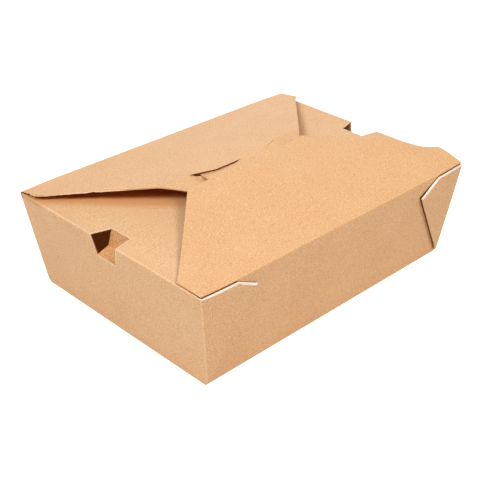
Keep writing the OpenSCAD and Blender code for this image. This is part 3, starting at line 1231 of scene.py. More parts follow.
@dataclass(frozen=True, kw_only=True)
class FrontFlap(LongFlap):
    """Front flap with its tuck tab, bowed and a little rippled along its free edge.

    Places along the free edge, whose names end in u, are shares of half the mouth's length, and the widths
    of bells, whose names end in w, too. The place of the side's dip up the flap is a share of its reach.

    Attributes:
        edge_y: Place of the free edge across the box.
        over_ridge: How far the free edge's middle lies over the ridge.
        twist_h: How much higher the right end lies than the middle.
        droop_h: How far both ends droop.
        crown: How bowed the flap is at its middle.
        crown_twist: How much more so at its right end.
        hump_h: Height of the hump in the free edge.
        side_dip_h: Depth of the dip at the right shoulder.
        crest_over: How far the bulged tab lies over the tongue.
        crest_before: Distance of its crest from the tongue's edge.
        bulge_x: Where along the slit the tab starts to bulge.
        bulge_run: Distance over which the bulge grows.
        tab_side_gap: Gap between the tab's root and each end of the slit.
        tab_taper: How much narrower each side of the tab is at its end.
        tab_fall_h: How far it falls under the back flap.
        root: Reach at which the flap takes over from the fold.
        shy: How far the flap stops short of the end walls' outsides.
    """

    row = Row.FRONT
    back: BackFlap
    step: float = 17.5
    edge_y: float = 0.4
    over_ridge: float = 1.7
    twist_h: float = 4.6
    droop_h: float = 4.0
    crown: float = 0.5
    crown_twist: float = 1.0
    hump_h: float = 0.8
    hump_u: float = -0.06
    dip_h: float = 1.4
    dip_u: float = 0.24
    ripple_w: float = 0.13
    side_dip_h: float = 2.4
    side_dip_u: float = 0.94
    side_dip_s: float = 0.33
    side_dip_w: float = 0.12
    crest_over: float = 1.0
    crest_before: float = 1.2
    bulge_x: float = -7.0
    bulge_run: float = 9.0
    tab_side_gap: float = 4.4
    tab_reach: float = 17.0
    tab_taper: float = 5.0
    tab_corner: float = 4.0
    tab_fall_h: float = 1.9
    root: float = 2.6
    shy: float = 0.5

    def half_length(self, reach: Array) -> Array:
        """Half length of the flap, which stops a little short of the end walls' outsides."""
        return super().half_length(reach) - self.shy

    @property
    def reach(self) -> float:
        """Distance of the free edge from the front fold."""
        return self.blank.fold_y + self.edge_y

    @property
    def tab_w(self) -> float:
        """Width of the tab at the free edge."""
        return self.back.slit_w - 2 * self.tab_side_gap

    @property
    def tab_entry(self) -> float:
        """Distance of the tongue's edge from the free edge."""
        return self.back.ridge_y - self.back.tongue_reach - self.edge_y

    def height(self, x: Array, reach: Array) -> Array:
        """Height over the fold.

        The free edge rises by a lift that grows to the right and droops at both ends, and the way to it is
        bowed, more so at the right. A hump and a dip, each a bell along the edge, die away towards the fold.

        Args:
            x: Place along the fold.
            reach: Distance from the fold.

        Returns:
            The height.
        """
        u = 2 * x / self.blank.top_l
        s = reach / self.reach
        lift = self.back.ridge_h + self.over_ridge + self.twist_h * u - self.droop_h * u * u
        hump = self.hump_h * bell((u - self.hump_u) / self.ripple_w)
        dip = self.dip_h * bell((u - self.dip_u) / self.ripple_w)
        side = bell((u - self.side_dip_u) / self.side_dip_w) * bell((s - self.side_dip_s) / self.side_dip_w)
        rise = bowed(s, lift, self.crown + self.crown_twist * u)
        return rise + (hump - dip) * s ** 3 - self.side_dip_h * side

    @property
    def edge_half(self) -> float:
        """Half length of the free edge."""
        return float(self.half_length(self.reach))

    @property
    def corner_h(self) -> float:
        """Height of the left corner of the free edge."""
        return float(self.height(-self.edge_half, self.reach))

    def tab_height(self, x: Array, out: Array) -> Array:
        """Height of the tab: down from the free edge to the slit, then on, falling evenly, under the flap.

        At the right the tab bulges up against the tongue: it keeps level with a crest just before the
        tongue's edge and dives under it from there.

        Args:
            x: Place along the free edge.
            out: Distance past the free edge.

        Returns:
            The height over the fold.
        """
        back = self.back
        free = self.height(x, self.reach)
        fall = self.tab_fall_h * np.maximum(out - self.tab_entry, 0.0) / (self.tab_reach - self.tab_entry)
        low = mix(free, back.tab_entry_h, np.minimum(out / self.tab_entry, 1.0)) - fall
        tongue = back.tongue_at(x)
        crest = back.height(back.ridge_reach + tongue) + self.crest_over
        before = back.ridge_y - tongue - self.edge_y - self.crest_before
        dive = smooth((out - before) / (self.crest_before + 0.5))
        bulged = mix(mix(free, crest, np.clip(out / before, 0.0, 1.0)), back.tab_entry_h - fall, dive)
        return mix(low, bulged, smooth((x - self.bulge_x) / self.bulge_run))

    def patches(self) -> list[Patch]:
        """The flap from just past its fold, and the tab.

        Returns:
            The two patches.
        """
        reach = steps(self.root, self.step, self.reach, cells=(7, 30))[:, None]
        columns = mirrored(steps(0.0, self.tab_w / 2 / self.edge_half, 1.0, cells=(20, 12)))
        x = columns * self.half_length(reach)
        flap = self._lay(x, reach, self.height(x, reach))

        bend = self.tab_reach - self.tab_corner
        out = steps(0.0, self.tab_entry, bend, self.tab_reach, cells=(12, 14, 3))[:, None]
        half = self.tab_w / 2 - self.tab_taper * out / self.tab_reach - np.maximum(0.0, out - bend)
        x = np.linspace(-1.0, 1.0, 41) * half
        return [flap, self._lay(x, self.reach + out, self.tab_height(x, out))]

    def make(self, finishes: Finishes) -> bpy.types.Object:
        """Makes the flap and lets it ride on its own body.

        Args:
            finishes: The materials, in the order of Face.

        Returns:
            The flap.
        """
        piece = Board("front_flap_board", self.blank, self.patches()).make(finishes, self.blank.board)
        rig.replaces(piece, FRONT_FLAP, TUCK_TAB)
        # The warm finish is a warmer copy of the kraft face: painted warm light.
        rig.slot(piece, "kraft_board_warm")
        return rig.ride(piece, FRONT_FLAP)


@dataclass(frozen=True)
class FrontFold:
    """Board that bends at the front fold, between the front wall and the front flap.

    Attributes:
        crease_round: Outer radius about the hinge line.
        lap: How far it laps the flap.
        lap_lift: How far each of its skins stands off the flap there.
    """

    blank: Blank
    flap: FrontFlap
    crease_round: float = 0.42
    lap: float = 0.6
    lap_lift: float = 0.03
    columns: int = 72

    def skin(self, depth: float) -> Array:
        """Y and Z of one side of the board, from the wall to the flap.

        It follows the wall's plane, an arc about the hinge line whose radius is the crease's less the
        depth, and the flap's first millimetres.

        Args:
            depth: Distance under the outer side.

        Returns:
            The points, for the flap's middle.
        """
        b = self.blank
        wall_n = -np.array([math.cos(b.side_lean), math.sin(b.side_lean)])
        rise = math.atan(float(self.flap.height(0.0, 1.0)))
        hinge = np.array([-b.fold_y, b.fold_z])
        start = math.atan2(wall_n[1], wall_n[0]) % (2 * math.pi)
        angle = np.linspace(start, math.pi / 2 + rise, 9)
        arc = hinge + (self.crease_round - depth) * joined(np.cos(angle), np.sin(angle))
        wall_out = np.array([-b.half_w(b.crease_z), b.crease_z]) - depth * wall_n
        return np.concatenate([mix(wall_out, arc[0], np.linspace(0.0, 1.0, 5)[:-1, None]), arc])

    def patches(self) -> list[Patch]:
        """Outer skin, inner skin, the two cut ends and the two rims.

        Returns:
            The six patches.
        """
        b = self.blank
        f = np.linspace(-1.0, 1.0, self.columns + 1)
        root_half = float(self.flap.half_length(0.0))
        flap_x = f * root_half
        root = np.linspace(0.2, 1.0, 5)[:, None] * (self.flap.root + self.lap)
        skins = []
        for depth, way in ((0.0, 1.0), (b.board, -1.0)):
            y, z = self.skin(depth).T[:, :, None]
            proud = way * self.lap_lift * smooth(root / self.flap.root)
            flap_z = b.lid_z - depth + self.flap.height(flap_x, root) + proud
            bend = joined(f * b.wall_half(z, root_half), y, z)
            skins.append(np.concatenate([bend, joined(flap_x, root - b.fold_y, flap_z)]))
        outer, inner = skins
        run = np.concatenate([[0.0], np.cumsum(np.linalg.norm(np.diff(outer[:, 0, 1:], axis=0), axis=1))])
        flat_y = -b.base_w / 2 - b.crease_z / math.cos(b.side_lean) - run
        chart = joined(outer[..., 0], flat_y[:, None])
        sides = ((0, True), (-1, False))
        ends = [Patch(np.stack([outer[:, k], inner[:, k]], axis=1), face=Face.CUT_EDGE, turned=turned)
                for k, turned in sides]
        rims = [Patch(np.stack([outer[k], inner[k]]), turned=turned) for k, turned in sides]
        return [Patch(outer, chart), Patch(inner, chart, Face.INSIDE, turned=True), *ends, *rims]

    def make(self, finishes: Finishes) -> bpy.types.Object:
        """Makes the fold, which bends between the carton and the flap.

        Args:
            finishes: The materials, in the order of Face.

        Returns:
            The fold.
        """
        piece = Board("front_fold", self.blank, self.patches(), weld=0.002).make(finishes)
        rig.slot(piece, "kraft_board")
        hinge = np.array([0.0, -self.blank.fold_y, self.blank.fold_z])
        reach = np.array([0.0, self.crease_round / 2, self.crease_round / 2])
        start, end = (tuple((hinge + way * reach) * MM) for way in (-1.0, 1.0))
        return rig.blend(piece, CARTON, FRONT_FLAP, start=start, end=end)


@dataclass(frozen=True)
class Carton:
    """The blank without its front flap: base, walls, end panels, corner webs and back flap."""

    blank: Blank
    webs: dict[Side, Web]
    panel: EndPanel
    back: BackFlap
    front: FrontFlap
    columns: int = 40

    def long_wall(self, rows: Array, row: Row) -> Patch:
        """A long wall with its foot, from the base's edge up its rows to where the corners' rounds begin.

        Args:
            rows: Distance from the middle and height of each row.
            row: Whether the wall is at the front or the back.

        Returns:
            The patch.
        """
        b = self.blank
        y, z = rows.T[:, :, None]
        x = b.wall_half(z, b.top_l / 2) * np.linspace(-1.0, 1.0, self.columns + 1)
        run = b.base_w / 2 + np.maximum(z, 0.0) / math.cos(b.side_lean)
        # Rubbing and painted highlight along the back fold and along the foot.
        wear_and_painted_light = 0.5 * bell((z - b.lid_z) / 0.6) + 0.5 * bell(z / 0.8)
        patch = Patch(joined(x, y, z), joined(x, run), wear_and_painted_light=wear_and_painted_light, turned=True)
        return patch if row is Row.BACK else patch.mirror(1.0, -1.0)

    def patches(self) -> list[Patch]:
        """All of the carton's single board.

        Returns:
            The patches.
        """
        b = self.blank
        foot, up, front_end = (np.array([b.half_w(z), z]) for z in (0.0, b.wall_h, b.crease_z))
        arc = round_turn(foot, np.array([0.0, 0.0]), up, b.foot_round, 6)
        share = steps(0.0, 0.03, 1.0, cells=(1, 14))[1:, None]
        front_rows = np.concatenate([arc, mix(arc[-1], front_end, share)])
        fold = self.back.fold_points()
        back_rows = np.concatenate([arc, mix(arc[-1], fold[0], share)[:-1], fold])
        half_l, half_w = b.base_l / 2 - b.corner_round, arc[0, 0]
        x = np.linspace(-half_l, half_l, self.columns + 1)
        y = np.linspace(-half_w, half_w, 31)[:, None]
        made = [Patch(joined(x, y, 0.0), joined(x, y), turned=True)]
        made += [self.long_wall(front_rows, Row.FRONT), self.long_wall(back_rows, Row.BACK)]
        for side in Side:
            made += self.panel.patches(side)
        return made + self.back.patches(self.front.corner_h, self.front.edge_y)

    def make(self, finishes: Finishes) -> list[bpy.types.Object]:
        """Makes the board and the four webs, which ride on the carton.

        Args:
            finishes: The materials, in the order of Face.

        Returns:
            The board, then the webs.
        """
        pieces = [Board("carton_board", self.blank, self.patches()).make(finishes, self.blank.board)]
        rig.replaces(pieces[0], CARTON)
        rows_z = self.panel.corner_rows_z()
        for side in Side:
            for row in Row:
                pieces.append(self.webs[side].make(side, row, rows_z, finishes))
        for piece in pieces:
            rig.slot(piece, "kraft_board")
            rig.ride(piece, CARTON)
        return pieces


class Value:
    """A number in a material's node tree. Operators on it add Math nodes."""

    def __init__(self, tree: "Tree", socket: bpy.types.NodeSocket) -> None:
        """Keeps the tree and the output socket."""
        self.tree = tree
        self.socket = socket

    def _math(self, operation: str, *terms: Any) -> "Value":
        """Adds a Math node over the terms."""
        node = self.tree.node("Math", dict(enumerate(terms)), operation=operation)
        return Value(self.tree, node.outputs[0])

    def __add__(self, other: Any) -> "Value":
        """Sum."""
        return self._math("ADD", self, other)

    def __sub__(self, other: Any) -> "Value":
        """Difference."""
        return self._math("SUBTRACT", self, other)

    def __rsub__(self, other: Any) -> "Value":
        """Difference from a number."""
        return self._math("SUBTRACT", other, self)

    def __mul__(self, other: Any) -> "Value":
        """Product."""
        return self._math("MULTIPLY", self, other)

    def __truediv__(self, other: Any) -> "Value":
        """Quotient."""
        return self._math("DIVIDE", self, other)

    def between(self, low: float, high: float) -> "Value":
        """0 below low, 1 above high, and even in between."""
        return ((self - low) * (1.0 / (high - low))).held()

    def held(self) -> "Value":
        """The value held between 0 and 1."""
        return self._math("MINIMUM", self._math("MAXIMUM", self, 0.0), 1.0)

    def size(self) -> "Value":
        """Its size without its sign."""
        return self._math("ABSOLUTE", self)

    def over(self, low: float) -> "Value":
        """The value, or low where that is more."""
        return self._math("MAXIMUM", self, low)

    def wave(self) -> "Value":
        """Its sine."""
        return self._math("SINE", self)


class Tree:
    """The node tree of a material or of a world."""

    def __init__(self, owner: bpy.types.Material | bpy.types.World) -> None:
        """Empties the owner's tree.

        Args:
            owner: The new material or world.
        """
        owner.use_nodes = True
        self.owner = owner
        self.nodes = owner.node_tree.nodes
        self.links = owner.node_tree.links
        self.nodes.clear()

    def node(self, kind: str, sockets: dict[Any, Any] | None = None, **settings: Any) -> bpy.types.Node:
        """Adds a node.

        Args:
            kind: The node's type, without the words that all shader nodes share.
            sockets: Its inputs by name or number. A Value or an output socket is linked, the rest is set.
            settings: Its properties, which are set first.

        Returns:
            The node.
        """
        node = self.nodes.new("ShaderNode" + kind)
        for key, value in settings.items():
            setattr(node, key, value)
        for key, value in (sockets or {}).items():
            if isinstance(value, Value):
                value = value.socket
            if isinstance(value, bpy.types.NodeSocket):
                self.links.new(value, node.inputs[key])
            else:
                node.inputs[key].default_value = value
        return node

    def place(self) -> bpy.types.NodeSocket:
        """The object's own coordinates."""
        return self.node("TexCoord").outputs["Object"]

    def chart(self) -> bpy.types.NodeSocket:
        """The place on the flat blank."""
        return self.node("UVMap", uv_map="chart").outputs["UV"]

    def parts(self, vector: bpy.types.NodeSocket) -> list[Value]:
        """X, Y and Z of a vector."""
        return [Value(self, part) for part in self.node("SeparateXYZ", {"Vector": vector}).outputs]

    def noise(self, scale: float, detail: float, rough: float,
              vector: bpy.types.NodeSocket | None = None) -> Value:
        """Noise over a vector, the place by default, with a mean near a half.

        Args:
            scale: Its scale, per metre.
            detail: How many finer layers it has.
            rough: How strong each finer layer is.
            vector: Where it is read.

        Returns:
            The noise.
        """
        made = self.node("TexNoise", {"Vector": vector or self.place(), "Scale": scale, "Detail": detail,
                                      "Roughness": rough}, noise_dimensions="3D")
        return Value(self, made.outputs["Fac"])

    def mixed(self, factor: Any, first: Any, second: Any) -> bpy.types.NodeSocket:
        """Mixes two colours by a factor."""
        made = self.node("Mix", {"Factor": factor, 6: first, 7: second}, data_type="RGBA", blend_type="MIX")
        return made.outputs[2]

    def shaded(self, colour: bpy.types.NodeSocket, painted_light_and_shade: Sequence[Any]) -> bpy.types.NodeSocket:
        """The colour with each painted highlight and painted shade laid over it where its mask says.

        Args:
            colour: The colour underneath.
            painted_light_and_shade: The painted highlights and shades laid over it, in order.

        Returns:
            The colour.
        """
        for shade in painted_light_and_shade:
            colour = self.mixed(shade.mask(self), colour, linear(*shade.tone))
        return colour

    def matt(self, colour: Any, rough: Any, gloss: float, **bump: Any) -> bpy.types.NodeSocket:
        """A matt surface, with a bump's Strength, Distance and Height where they are given.

        Args:
            colour: Its base colour.
            rough: Its roughness.
            gloss: Its specular level.
            bump: The bump's sockets.

        Returns:
            The shader.
        """
        sockets = {"Base Color": colour, "Roughness": rough, "Specular IOR Level": gloss}
        if bump:
            sockets["Normal"] = self.node("Bump", bump).outputs[0]
        return self.node("BsdfPrincipled", sockets).outputs[0]

    def surface(self, shader: bpy.types.NodeSocket, kind: str = "OutputMaterial") -> Any:
        """Ends the tree in a surface and returns the owner."""
        self.node(kind, {"Surface": shader})
        return self.owner


def linear(red: float, green: float, blue: float) -> tuple[float, float, float, float]:
    """A display colour of 0 to 255 a channel, as the linear colour that a shader takes.

    Args:
        red: Red, 0 to 255.
        green: Green.
        blue: Blue.

    Returns:
        The colour, with an alpha of 1.
    """
    c = np.array([red, green, blue]) / 255.0
    low, high = c / 12.92, ((c + 0.055) / 1.055) ** 2.4
    return (*np.where(c <= 0.04045, low, high).tolist(), 1.0)


def band(value: Value, low: float, high: float) -> Value:
    """1 where the value lies between low and high, in metres, with a hair's ramp inside each of them."""
    return (value - low).between(0.0, HAIR) * (high - value).between(0.0, HAIR)


@dataclass(frozen=True)
class CreviceShade:
    """Painted shade on the strip of long wall behind the webs of one end, seen only through the narrow gap beside
    them.
    """

    side: Side
    web: Web
    soft: float = 0.3
    # Dark brown of the painted shade.
    tone: Colour = (146.0, 82.0, 32.0)

    def mask(self, tree: Tree) -> Value:
        """1 where the shade is painted on the wall behind the web, 0 elsewhere.

        A point is behind it when it lies inside the line from the knee to the tip and inside the line from
        the tip to the foot, below the fold, near the wall's plane and clear of the upright corner.

        Args:
            tree: The material's tree.

        Returns:
            The mask, from 0 to 1.
        """
        b, soft = self.web.blank, self.soft * MM
        x, y, z = tree.parts(tree.place())
        foot, head = self.web.outline()
        knee, tip, heel = head[len(head) // 2] * MM, head[-1] * MM, foot[-1] * MM
        out = x * -self.side.value
        deep = 1.0
        for start, end in ((knee, tip), (tip, heel)):
            way = (end - start) / np.linalg.norm(end - start)
            inside = (out - start[0]) * float(way[1]) - (z - start[1]) * float(way[0])
            deep = inside.between(-soft / 2, soft / 2) * deep
        below = (b.wall_h + 0.3) * MM - z
        plane = z * (b.side_splay / b.wall_h) + b.base_w / 2 * MM - y.size()
        corner = z * (b.end_splay / b.wall_h) + b.base_l / 2 * MM + out
        near = band(plane, -0.3 * MM, 1.8 * MM)
        return deep * near * below.between(0.0, soft) * corner.between(0.6 * MM, 1.0 * MM)


@dataclass(frozen=True)
class UnderFlapShade:
    """Painted shade on the strip of the end flaps under the back flap's slanted sides, where no light reaches.

    Attributes:
        ends: Where the painted shade starts and is full: the way in under the flap, as a share of the reach.
    """

    back: BackFlap
    ends: tuple[float, float] = (0.17, 0.32)
    # Brown of the painted shade under the flap.
    tone: Colour = (184.0, 112.0, 48.0)

    def mask(self, tree: Tree) -> Value:
        """The painted shade grows with the way in under the flap, as a share of the reach, so it widens as the flap
        rises.
        """
        inside, reach, on_flap = self.place(tree)
        return (inside / reach).between(*self.ends) * on_flap

    def place(self, tree: Tree) -> tuple[Value, Value, Value]:
        """The way in under the flap's side, the reach from the back fold, and 1 on the end flaps.

        Args:
            tree: The material's tree.

        Returns:
            The way in and the reach, in metres, and the end flaps' mask.
        """
        b, back = self.back.blank, self.back
        x, y, z = tree.parts(tree.place())
        past = ((b.fold_y - back.step) * MM - y).over(0.0)
        inside = b.top_l / 2 * MM - past * math.tan(back.slant) - x.size()
        reach = ((b.fold_y + 0.2) * MM - y).over(1.0 * MM)
        under = (b.wall_h + 0.1) * MM - z
        return inside, reach, band(under, 0.0, 3.0 * MM) * y.between(-4.0 * MM, 2.0 * MM)


@dataclass(frozen=True)
class BesideFlapAmberShade(UnderFlapShade):
    """Painted warm shade on the strip of the end flaps along the back flap's sides: the soft edge of its shadow,
    tinted amber by light bounced between the boards.

    Attributes:
        ends: Where the painted shade starts and is full: the way in from the flap's side, in millimetres.
        strength: The most of the painted shade that is laid on, which keeps some of the mottling.
    """

    ends: tuple[float, float] = (-10.0, 0.5)
    # Amber of the painted warm shade.
    tone: Colour = (216.0, 161.0, 105.0)
    strength: float = 0.85

    def mask(self, tree: Tree) -> Value:
        """The painted shade grows from a little outside the flap's side to just inside it.

        Args:
            tree: The material's tree.

        Returns:
            The mask, from 0 to 1.
        """
        inside, _, on_flap = self.place(tree)
        low, high = self.ends
        return inside.between(low * MM, high * MM) * on_flap * self.strength


@dataclass(frozen=True)
class NotchRimHighlight:
    """Painted highlight on a thin rim round the end walls' notch, paler than the face round it."""

    panel: EndPanel
    wide: float = 0.45
    soft: float = 0.15
    # Pale cream of the painted highlight.
    tone: Colour = (255.0, 232.0, 200.0)

    def mask(self, tree: Tree) -> Value:
        """1 on a thin line round the notch's outline on the flat blank: its two hinges and four slants.

        Args:
            tree: The material's tree.

        Returns:
            The mask, from 0 to 1.
        """
        notch, fold = self.panel.notch, self.panel.fold_run
        along, across, _ = tree.parts(tree.chart())
        away = (along.size() - fold * MM).size()
        slope = (notch.width - notch.hinge_width) / 2 / notch.depth
        side = across.size() - notch.width / 2 * MM + away * slope
        past = side.over(away - notch.depth * MM)
        return (self.wide * MM - past).between(0.0, self.soft * MM) * (past + 0.4 * MM).between(0.0, HAIR)


@dataclass(frozen=True)
class EdgeLightAndShade:
    """Stretch of cut edge between two opposite corners of a box, with painted light and shade of its own.

    Attributes:
        low: The box's lower corner, in millimetres.
        high: Its upper corner.
        tone: Display colour of the painted light and shade.
        soft: Half width of the ramps at the box's sides, in millimetres.
        fall: How much the box's floor and lid fall per unit of y.
    """

    low: tuple[float, float, float]
    high: tuple[float, float, float]
    tone: Colour
    soft: float = 0.5
    fall: float = 0.0

    def mask(self, tree: Tree) -> Value:
        """1 inside the box, 0 outside it, with an even ramp at each side.

        Args:
            tree: The material's tree.

        Returns:
            The mask, from 0 to 1.
        """
        x, y, z = tree.parts(tree.place())
        soft = self.soft * MM
        inside = 1.0
        for at, low, high in zip((x, y, z + y * self.fall), self.low, self.high):
            inside = (at - low * MM).between(-soft, soft) * (high * MM - at).between(-soft, soft) * inside
        return inside


@dataclass(frozen=True)
class KraftFace:
    """Uncoated kraft liner: fine mottling, cloudy tone, loose fibres and faint ribs of the flutes under it.

    Attributes:
        name: The material's name.
        colour: Its mean display colour, 0 to 255.
        depth: How much darker than the mean the darkest specks are, of 255.
        speck_tint: How much of that depth each channel takes.
        contrast: Strength of the mottling.
        rib_pitch: Distance from one flute to the next, in metres.
        rib_tone: How much the flutes show as tone.
        painted_light_and_shade: Painted shade and painted highlights laid over parts of the face.
    """

    name: str
    colour: Colour
    depth: float = 44.0
    speck_tint: Colour = (0.6, 1.05, 1.2)
    contrast: float = 1.0
    rib_pitch: float = 0.0016
    rib_tone: float = 0.03
    painted_light_and_shade: tuple[CreviceShade | UnderFlapShade | NotchRimHighlight, ...] = ()

    def speck(self, way: float) -> tuple[float, float, float, float]:
        """The mean colour moved by a share of the depth."""
        return linear(*(min(255.0, c + way * self.depth * k) for c, k in zip(self.colour, self.speck_tint)))

    def material(self) -> bpy.types.Material:
        """Builds the material.

        Returns:
            The material.
        """
        tree = Tree(bpy.data.materials.new(self.name))
        grain = tree.noise(1500.0, 2.0, 0.6)
        cloud = tree.noise(45.0, 3.0, 0.55)
        chart = tree.chart()
        stretch = tree.node("Mapping", {"Vector": chart, "Scale": (1.0, 5.0, 1.0)}).outputs[0]
        fibre = tree.noise(420.0, 2.0, 0.5, stretch).between(0.60, 0.78)
        rib = (tree.parts(chart)[1] * (2 * math.pi / self.rib_pitch)).wave()
        # Rubbing and painted highlight along folds and creases, and painted light on the end flaps, lighten the tone.
        wear_and_painted_light = Value(tree, tree.node("Attribute", attribute_name="wear_and_painted_light").outputs["Fac"])
        tone = (grain - 0.5) * (1.75 * self.contrast) + (cloud - 0.5) * 0.2 + rib * self.rib_tone
        tone = (tone + fibre * 0.12 + wear_and_painted_light * 0.25 + 0.60).held()
        colour = tree.shaded(tree.mixed(tone, self.speck(-1.0), self.speck(0.6)), self.painted_light_and_shade)
        height = grain * 0.5 + rib * 0.35 + fibre * 0.3
        rough = (grain - 0.5) * 0.2 + 0.62
        return tree.surface(tree.matt(colour, rough, 0.4, Strength=0.2, Distance=0.00008, Height=height))


@dataclass(frozen=True)
class CutEdge:
    """Raw cut edge of the board: pale pulp with a fine fibrous tooth.

    Attributes:
        colour: Display colour of its pale stretches, 0 to 255.
        dull: Display colour of its dull ones.
        painted_light_and_shade: Painted light and shade laid over stretches of the edge.
    """

    name: str
    colour: Colour
    dull: Colour
    painted_light_and_shade: tuple[EdgeLightAndShade, ...] = ()

    def material(self) -> bpy.types.Material:
        """Builds the material: long pale and dull stretches, with a finer tooth over them.

        Returns:
            The material.
        """
        tree = Tree(bpy.data.materials.new(self.name))
        grain = tree.noise(2600.0, 2.0, 0.6)
        stretch = tree.noise(38.0, 1.0, 0.5).between(0.44, 0.56)
        tone = ((grain - 0.5) * 0.8 + stretch * 0.75 + 0.12).held()
        colour = tree.shaded(tree.mixed(tone, linear(*self.dull), linear(*self.colour)), self.painted_light_and_shade)
        return tree.surface(tree.matt(colour, 0.85, 0.3, Strength=0.4, Distance=0.0001, Height=grain))


@dataclass(frozen=True)
class Lamp:
    """A soft rectangular lamp that looks at the box: metres, watts and a linear colour."""

    name: str
    place: tuple[float, float, float]
    size: tuple[float, float]
    power: float
    colour: tuple[float, float, float] = (1.0, 1.0, 1.0)

    def hang(self) -> bpy.types.Object:
        """Makes the lamp.

        Returns:
            The lamp's object.
        """
        light = bpy.data.lights.new(self.name, "AREA")
        light.shape = "RECTANGLE"
        light.size, light.size_y = self.size
        light.energy = self.power
        light.color = self.colour
        return aimed(self.name, light, self.place, Vector((0.0, 0.0, 0.03)) - Vector(self.place))


@dataclass(frozen=True)
class Studio:
    """Camera, soft light, white background and a pale floor.

    Attributes:
        elevation: How far it looks down, in radians.
        focal_px: Its focal length, in pixels of the frame.
        sky: Share of the white background that lights the box.
        floor_glow: How much the floor glows where the camera sees it.
    """

    azimuth: float = math.radians(44.05)
    elevation: float = math.radians(30.31)
    eye: tuple[float, float, float] = (-0.37308, -0.37929, 0.32987)
    focal_px: float = 998.8
    frame_px: float = 480.0
    sensor: float = 36.0
    sky: float = 0.3
    floor_half: float = 3.0
    floor_glow: float = 0.8
    floor_grey: float = 0.75
    lamps: tuple[Lamp, ...] = (
        Lamp("front", (0.1, -1.2, 1.3), (0.7, 0.6), 12.6, (1.0, 0.88, 0.74)),
        Lamp("left", (-1.25, -0.25, 1.3), (0.6, 0.5), 17.3, (1.0, 1.0, 1.0)),
        Lamp("back", (1.2, 1.3, 0.45), (0.7, 0.5), 5.2, (1.0, 0.88, 0.76)),
        Lamp("inside", (0.0, 0.0, 0.045), (0.16, 0.1), 0.008, (1.0, 0.56, 0.24)),
    )

    def camera(self) -> bpy.types.Object:
        """The camera, turned to the photograph's viewing direction.

        Returns:
            The camera's object.
        """
        level = math.cos(self.elevation)
        way = Vector((math.sin(self.azimuth) * level, math.cos(self.azimuth) * level,
                      -math.sin(self.elevation)))
        data = bpy.data.cameras.new("camera")
        data.sensor_width = self.sensor
        data.lens = self.sensor * self.focal_px / self.frame_px
        data.clip_start, data.clip_end = 0.01, 50.0
        camera = aimed("camera", data, self.eye, way)
        bpy.context.scene.camera = camera
        return camera

    def world(self) -> bpy.types.World:
        """A white world, seen whole by the camera, gloss and glass, whose light on the box is softer.

        Returns:
            The world.
        """
        world = bpy.data.worlds.new("studio")
        tree = Tree(world)
        path = tree.node("LightPath")
        names = ("Is Camera Ray", "Is Glossy Ray", "Is Transmission Ray")
        camera, glossy, through = (Value(tree, path.outputs[n]) for n in names)
        strength = (camera + glossy + through).held() * (1.0 - self.sky) + self.sky
        back = tree.node("Background", {"Color": WHITE, "Strength": strength})
        bpy.context.scene.world = tree.surface(back.outputs[0], "OutputWorld")
        return world

    def floor(self) -> bpy.types.Object:
        """A plain pale floor, which glows a little where it is seen and keeps the box's shadow.

        Returns:
            The floor.
        """
        reach = np.linspace(-self.floor_half, self.floor_half, 3)
        points = joined(reach, reach[:, None], -0.0002).reshape(-1, 3)
        mesh = bpy.data.meshes.new("floor")
        mesh.from_pydata(points.tolist(), [], quads(3, 3).tolist())
        tree = Tree(bpy.data.materials.new("floor_paper"))
        paper = tree.matt((self.floor_grey,) * 3 + (1.0,), 0.9, 0.0)
        camera = Value(tree, tree.node("LightPath").outputs["Is Camera Ray"])
        glow = tree.node("Emission", {"Color": WHITE, "Strength": camera * self.floor_glow})
        both = tree.node("AddShader", {0: paper, 1: glow.outputs[0]})
        mesh.materials.append(tree.surface(both.outputs[0]))
        floor = placed("floor", mesh)
        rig.stage(floor)
        return floor

    def set_up(self) -> None:
        """Makes the camera, the lamps, the world and the floor."""
        bpy.context.scene.view_settings.view_transform = "Standard"
        self.camera()
        for lamp in self.lamps:
            lamp.hang()
        self.world()
        self.floor()


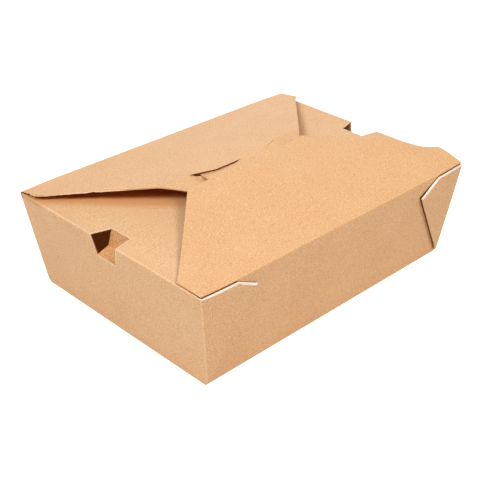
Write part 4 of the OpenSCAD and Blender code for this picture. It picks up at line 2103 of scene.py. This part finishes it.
@dataclass(frozen=True)
class Box:
    """The whole box: its boards and their finishes."""

    blank: Blank = Blank()

    def make(self) -> None:
        """Makes every piece. The two ends' webs differ, as the hand left them."""
        b = self.blank
        webs = {Side.LEFT: Web(b, tip_drop=7.6, lift=0.15), Side.RIGHT: Web(b, tip_out=2.4)}
        panel = EndPanel(b, webs[Side.LEFT])
        back = BackFlap(b)
        front = FrontFlap(blank=b, back=back)
        edge, dull, pale = self.edges()
        # Painted shade on the wall behind the webs at each end.
        crevice_shades = tuple(CreviceShade(side, web) for side, web in webs.items())
        # Painted shade behind the webs and under the back flap, painted warm shade beside it, and a painted highlight
        # round the notch.
        painted_light_and_shade = (*crevice_shades, BesideFlapAmberShade(back), UnderFlapShade(back), NotchRimHighlight(panel))
        # Painted shade: a darker copy of the kraft face for the pushed-in board, which also has stronger mottling and
        # ribs.
        pushed = KraftFace("kraft_pushed_in_shaded", (226.0, 170.0, 113.0), contrast=1.9, rib_pitch=0.0011,
                           rib_tone=0.2)
        inside = KraftFace("kraft_inside", (222.0, 174.0, 124.0))
        plain = KraftFace("kraft_face", (231.0, 182.0, 133.0), painted_light_and_shade=painted_light_and_shade)
        # Painted warm light: a warmer copy of the kraft face for the front flap and its fold.
        warm = KraftFace("kraft_face_warm_lit", (233.0, 182.0, 129.0), painted_light_and_shade=crevice_shades)
        pushed, inside, plain, warm = (face.material() for face in (pushed, inside, plain, warm))
        carton = Carton(b, webs, panel, back, front)
        carton.make((plain, edge, inside, pale, plain, pale, inside, pushed, edge, inside))
        front.make((warm, dull, inside))
        FrontFold(b, front).make((warm, dull, inside))

    def edges(self) -> list[bpy.types.Material]:
        """The carton's cut edges, the front flap's duller ones and the webs' pale ones.

        The tongue's edge has a painted highlight above and painted shade at the slit's mouth, the back flap's left
        tip has painted shade, and the left end of the tab's slit has painted warm light.

        Returns:
            The three materials.
        """
        # Painted highlight on the tongue's edge, painted shade in the slit's mouth and on the back flap's left tip,
        # and painted warm light on the tab's left side.
        tongue = EdgeLightAndShade((-35.4, 4.0, 66.0), (35.4, 12.6, 90.0), (240.0, 196.0, 152.0))
        mouth = EdgeLightAndShade((-35.0, 4.0, 66.0), (17.0, 12.4, 72.78), (92.0, 48.0, 20.0), soft=0.1, fall=0.126)
        tip = EdgeLightAndShade((-120.0, 69.0, 60.0), (-100.0, 90.0, 70.0), (104.0, 54.0, 22.0))
        tab = EdgeLightAndShade((-33.0, 0.8, 66.0), (-26.0, 20.0, 90.0), (228.0, 178.0, 130.0))
        edges = (
            CutEdge("kraft_cut_edge", (250.0, 220.0, 184.0), (198.0, 142.0, 96.0), (tongue, mouth, tip)),
            CutEdge("kraft_dull_edge", (196.0, 142.0, 96.0), (150.0, 96.0, 56.0), (tab,)),
            CutEdge("kraft_web_edge", (255.0, 252.0, 245.0), (255.0, 244.0, 228.0)),
        )
        return [edge.material() for edge in edges]


def main() -> None:
    """Builds the studio and the box, and writes the sizes of the solids' box and of the shown one."""
    logging.basicConfig(level=logging.INFO, format="%(message)s")
    cad_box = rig.bounds()
    Studio().set_up()
    Box().make()
    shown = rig.bounds()
    with open(SIZE_FILE, "w") as file:
        json.dump({"cad": [list(c) for c in cad_box], "visual": [list(c) for c in shown]}, file)
    LOG.info("the box: %s to %s", *[[round(v / MM, 2) for v in c] for c in shown])


if __name__ == "__main__":
    main()
